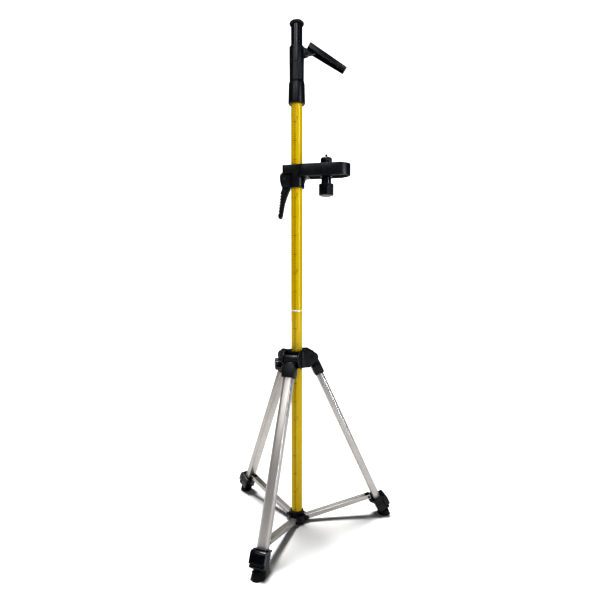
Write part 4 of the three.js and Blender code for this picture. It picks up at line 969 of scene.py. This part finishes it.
def build_bracket():
    slab = prism(slab_outline(0), SLAB_BOTTOM_Z, SLAB_TOP_Z, 1.1, segments=3)
    recess = prism(slab_outline(2.5), SLAB_BOTTOM_Z - 1, SLAB_BOTTOM_Z + 4)
    cut(recess, box((0, -30, SLAB_BOTTOM_Z - 2), (34, 30, SLAB_BOTTOM_Z + 6)))
    cut(slab, recess)
    boss = shifted(rod(16, SLAB_BOTTOM_Z, SLAB_BOTTOM_Z + 6, 64, 0.5), SCREW_X)
    rib_low, rib_high = SLAB_BOTTOM_Z + 0.6, SLAB_BOTTOM_Z + 6
    ribs = [box((30, y - 0.9, rib_low), (SLAB_END - 11, y + 0.9, rib_high)) for y in (-14, 14)]
    back_outline = rounded_box(BLOCK_END, 20, BLOCK_HALF_W, 1, 5)
    back = prism(back_outline, BLOCK_BOTTOM_Z, SLAB_TOP_Z, 1.0, segments=3)
    collar = rod(BRACKET_COLLAR_R, BRACKET_BOTTOM_Z, BLOCK_BOTTOM_Z + 5, 80, 0.8)
    gusset_outline = [
        (15, BRACKET_BOTTOM_Z + 10), (BRACKET_COLLAR_R, BRACKET_BOTTOM_Z + 16),
        *arc(34, BRACKET_BOTTOM_Z + 15, 13.4, 175, 95, 8), (15, SLAB_BOTTOM_Z + 1),
    ]
    gusset = prism(gusset_outline, -9, 9, 0.6, "Y")
    join(slab, boss, *ribs, back, collar, gusset)
    slot_low = (-60, -CHEEK_INNER_Y, BRACKET_BOTTOM_Z - 1)
    cut(slab, box(slot_low, (-BRACKET_COLLAR_R, CHEEK_INNER_Y, BLOCK_BOTTOM_Z - 1.5)))
    cheek_outline = [
        (-14, BRACKET_BOTTOM_Z + 2), (-14, BLOCK_BOTTOM_Z + 2), (BLOCK_END, BLOCK_BOTTOM_Z + 4.6),
        (-42.5, BLOCK_BOTTOM_Z - 2), (-44, BLOCK_BOTTOM_Z - 5.5), (-43.8, BRACKET_BOTTOM_Z + 22),
        (-41.5, BRACKET_BOTTOM_Z + 11), (-38, BRACKET_BOTTOM_Z + 2),
    ]
    join(slab, *pair(cheek_outline, CHEEK_INNER_Y, CHEEK_T, 0.7))
    window = JAW_HALF_H + GAP
    cut(
        slab,
        box((-30, -CHEEK_INNER_Y, CAM_Z - window), (-10, CHEEK_INNER_Y, CAM_Z + window)),
        shifted(rod(SCREW_HOLE_R, SLAB_BOTTOM_Z - 46, SLAB_TOP_Z + 32, 32), SCREW_X),
        cross_hole(CAM_X, CAM_Z, WIDE_HOLE_R),
        rod(BRACKET_BORE_R, BRACKET_BOTTOM_Z - 1, SLAB_TOP_Z + 1, FINE),
    )
    piece(slab, "clamp_table", "bracket", BLACK, BRACKET, ["bracket_body"], 32)

    low, high = BRACKET_BOTTOM_Z + 0.5, SLAB_TOP_Z + 1
    profile = [
        (15.4, low), (16.7, low), (17, low + 0.3), (17, high - 0.3), (16.7, high), (15.4, high),
        (15.4, low),
    ]
    bush = lathe(profile, FINE)
    cut(bush, box((-1.5, -60, low - 5), (1.5, 0, high + 5)))
    piece(bush, "clamp_bush", "bracket_bush", BLACK, BRACKET, ["bracket_bush"])

    reach = CAM_X + CAM_R + CAM_ECCENTRIC + GAP
    jaw = box((reach, -JAW_HALF_W, CAM_Z - JAW_HALF_H), (-12, JAW_HALF_W, CAM_Z + JAW_HALF_H), 0.6)
    cut(jaw, rod(JAW_BORE_R, BRACKET_BOTTOM_Z + 2, BLOCK_BOTTOM_Z + 3, FINE))
    piece(jaw, "pressure_jaw", "clamp_jaw", BLACK, BRACKET, ["clamp_jaw"])
    half = CHEEK_INNER_Y + CHEEK_T + GAP + PIN_HEAD_T
    pin = headed_pin(WIDE_PIN_R, half, CAM_PIN_HEAD_R, CAM_X, CAM_Z)
    piece(pin, "cam_rivet", "bracket", STEEL, BRACKET, ["cam_pin"])
    build_cam_lever()


def build_cam_lever():
    """Lever with finger teeth along its outer edge, turning a round cam off its axis."""
    count, teeth = 7, []
    (x0, z0), (x1, z1) = (-43.2, 907.0), (-49.8, 852.0)
    for i in range(count):
        for step, dip in ((0.0, 0.0), (0.35, 0.0), (0.5, 2.2), (0.68, 3.0), (0.86, 2.2)):
            t = (i + step) / count
            teeth.append((x0 + (x1 - x0) * t + dip, z0 + (z1 - z0) * t))
    outline = [*arc(CAM_X, CAM_Z, CAM_HEAD_R, 158, 215, 16), (-38.6, 921), (-40, 914), *teeth]
    outline += [
        (-50.2, 848), (-49.6, 842.5), (-48.4, 839.4), (-46.6, 837.5), (-43.8, 837.5), (-41.6, 840.2),
        (-40.2, 846),
    ]
    outline += [
        (-34.3, 877.6), (-28, 896), (-21.5, 911.5), (-18, 916.6), (-23, 917.2), (-27, 922),
        (-28.5, 936), (CAM_X, CAM_Z),
    ]
    arm = prism(outline, -CAM_HALF_W, CAM_HALF_W, 0.7, "Y")
    cam = shifted(rod(CAM_R, -CAM_HALF_W, CAM_HALF_W, 48, 0.4, "Y"), CAM_X + CAM_ECCENTRIC, 0, CAM_Z)
    join(arm, cam)
    cut(arm, cross_hole(CAM_X, CAM_Z, WIDE_HOLE_R))
    piece(arm, "cam_handle", "cam_lever", BLACK, BRACKET, ["cam_lever"])


def build_mount():
    low, high, r = KNOB_BOTTOM_Z, KNOB_GRIP_TOP_Z, KNOB_GRIP_R
    profile = [(0, low + 1), (r - 8, low + 1), (r - 7.4, low)]
    profile += arc(r - 3.4, low + 3.4, 3.4, -90, 0, 6)
    profile += [(r, low + 4), (r, high - 1.4), *arc(r - 1, high - 1, 1, 10, 90, 3)]
    profile += [(KNOB_NECK_R + 1, high), (KNOB_NECK_R, high + 1), (KNOB_NECK_R, SLAB_BOTTOM_Z - 3.4)]
    profile += [
        (KNOB_NECK_R - 0.6, SLAB_BOTTOM_Z - 2.8), (KNOB_NECK_R - 0.6, SLAB_BOTTOM_Z - 0.4),
        (0, SLAB_BOTTOM_Z - 0.4),
    ]
    knob = lathe(profile, 192, lobed(r, 12, 1.1, low + 2, high - 0.2, 3))
    cut(knob, rod(SCREW_HOLE_R, low + 8, SLAB_BOTTOM_Z + 1, 32))
    piece(knob, "mount_grip", "mount_knob", GLOSSY, MOUNT, ["mount_knob"], 30)
    screw = threaded(SCREW_R, low + 8.3, SCREW_TOP_Z, 1.27)
    piece(screw, "instrument_screw", "mount_knob", STEEL, MOUNT, ["mount_screw"])
    bottom, top, r = SLAB_TOP_Z + 0.4, RING_TOP_Z, RING_R
    profile = [(SCREW_HOLE_R, bottom), (r - 1.4, bottom), (r - 0.4, bottom + 0.8), (r, bottom + 1.4)]
    profile += [
        (r, top - 2.6), (r - 0.3, top - 2), (r - 1.3, top - 1), (r - 2, top), (4, top),
        (SCREW_HOLE_R, top - 0.5), (SCREW_HOLE_R, bottom),
    ]
    ring = lathe(profile, 240, lobed(r, 48, 0.55, bottom + 1, top - 2.3, 1))
    piece(ring, "knurled_ring", "lock_ring", GLOSSY, MOUNT, ["lock_ring"], 50)


# ---- light, floor and camera ------------------------------------------------------------


FLOOR_HALF = 6.0
ROOM_TINT, ROOM_STRENGTH = (0.95, 0.97, 1, 1), 0.1
OVERHEAD_STRENGTH, OVERHEAD_ANGLE, OVERHEAD_AIM = 3.4, math.radians(20), (0.05, -0.17, -1.0)
WHITE, COOL = (1, 1, 1), (0.86, 0.93, 1)
PANELS = (
    # name, place, aimed at, size, watts, colour, spread in degrees
    ("key", (-1.5, -1.3, 2.2), (0, 0, 0.3), (0.9, 0.9), 10, WHITE, 180),
    ("front", (-0.35, -1.6, 2.3), (0, 0, 0.4), (0.9, 0.9), 14, WHITE, 180),
    ("strip", (1.15, -1.3, 1.15), (0, 0, 0.95), (0.08, 1.7), 3.2, COOL, 70),
)


def panel_light(name, location, target, size, power, colour, spread, lit):
    """A soft panel that lights the object and leaves the floor to the overhead light."""
    light = bpy.data.lights.new(name, "AREA")
    light.spread = math.radians(spread)
    light.shape = "RECTANGLE"
    light.size, light.size_y = size
    light.energy = power
    light.color = colour
    obj = bpy.data.objects.new(name, light)
    bpy.context.scene.collection.objects.link(obj)
    obj.location = location
    obj.rotation_mode = "QUATERNION"
    obj.rotation_quaternion = (Vector(target) - Vector(location)).to_track_quat("-Z", "Y")
    obj.light_linking.receiver_collection = lit


def build_floor():
    """The floor, and the list of lit things that leaves it out."""
    h = FLOOR_HALF
    floor = new_object("floor", [(-h, -h, 0), (h, -h, 0), (h, h, 0), (-h, h, 0)], [(0, 1, 2, 3)])
    n = Nodes("floor_paper")
    n.colour(n.mix(n.noise(2), (0.93, 0.93, 0.93), (0.96, 0.96, 0.96)))
    n.set(Roughness=0.9, Specular_IOR_Level=0.1)
    floor.data.materials.append(n.material)
    lit = bpy.data.collections.new("all_but_floor")
    lit.objects.link(floor)
    lit.collection_objects[0].light_linking.link_state = "EXCLUDE"
    return lit


def build_room():
    """White to the camera, and dimmer as a light."""
    world = bpy.data.worlds.new("studio")
    world.use_nodes = True
    tree = world.node_tree
    dim = tree.nodes["Background"]
    dim.inputs["Color"].default_value = ROOM_TINT
    dim.inputs["Strength"].default_value = ROOM_STRENGTH
    white = tree.nodes.new("ShaderNodeBackground")
    white.inputs["Color"].default_value = (*WHITE, 1)
    white.inputs["Strength"].default_value = 1.0
    seen = tree.nodes.new("ShaderNodeLightPath")
    both = tree.nodes.new("ShaderNodeMixShader")
    tree.links.new(seen.outputs["Is Camera Ray"], both.inputs[0])
    tree.links.new(dim.outputs[0], both.inputs[1])
    tree.links.new(white.outputs[0], both.inputs[2])
    tree.links.new(both.outputs[0], tree.nodes["World Output"].inputs["Surface"])
    bpy.context.scene.world = world


def build_studio():
    lit = build_floor()
    build_room()
    view = bpy.context.scene.view_settings
    view.view_transform = "Standard"
    view.look = "High Contrast"
    sun = bpy.data.lights.new("overhead", "SUN")
    sun.energy = OVERHEAD_STRENGTH
    sun.angle = OVERHEAD_ANGLE
    overhead = bpy.data.objects.new("overhead", sun)
    bpy.context.scene.collection.objects.link(overhead)
    overhead.rotation_mode = "QUATERNION"
    overhead.rotation_quaternion = Vector(OVERHEAD_AIM).to_track_quat("-Z", "Y")
    for panel in PANELS:
        panel_light(*panel, lit)


SENSOR, LENS = 36.0, 27.399  # millimetres
CAMERA_AT = (-0.21208, -1.22396, 0.6802)
CAMERA_YAW = math.radians(10.231)  # from +Y towards +X
CAMERA_DOWN = math.radians(2.865)


def build_camera():
    camera = bpy.data.cameras.new("camera")
    camera.sensor_width = SENSOR
    camera.lens = LENS
    camera.clip_start, camera.clip_end = 0.05, 50
    obj = bpy.data.objects.new("camera", camera)
    bpy.context.scene.collection.objects.link(obj)
    obj.location = CAMERA_AT
    level = math.cos(CAMERA_DOWN)
    aim = Vector((math.sin(CAMERA_YAW) * level, math.cos(CAMERA_YAW) * level, -math.sin(CAMERA_DOWN)))
    obj.rotation_mode = "QUATERNION"
    obj.rotation_quaternion = aim.to_track_quat("-Z", "Y")
    bpy.context.scene.camera = obj


build_pole()
build_numerals()
build_hub()
for leg in range(LEGS):
    build_arm(leg)
    build_leg(leg)
build_crown()
build_crown_knob()
build_head()
build_bracket()
build_mount()
build_studio()
build_camera()
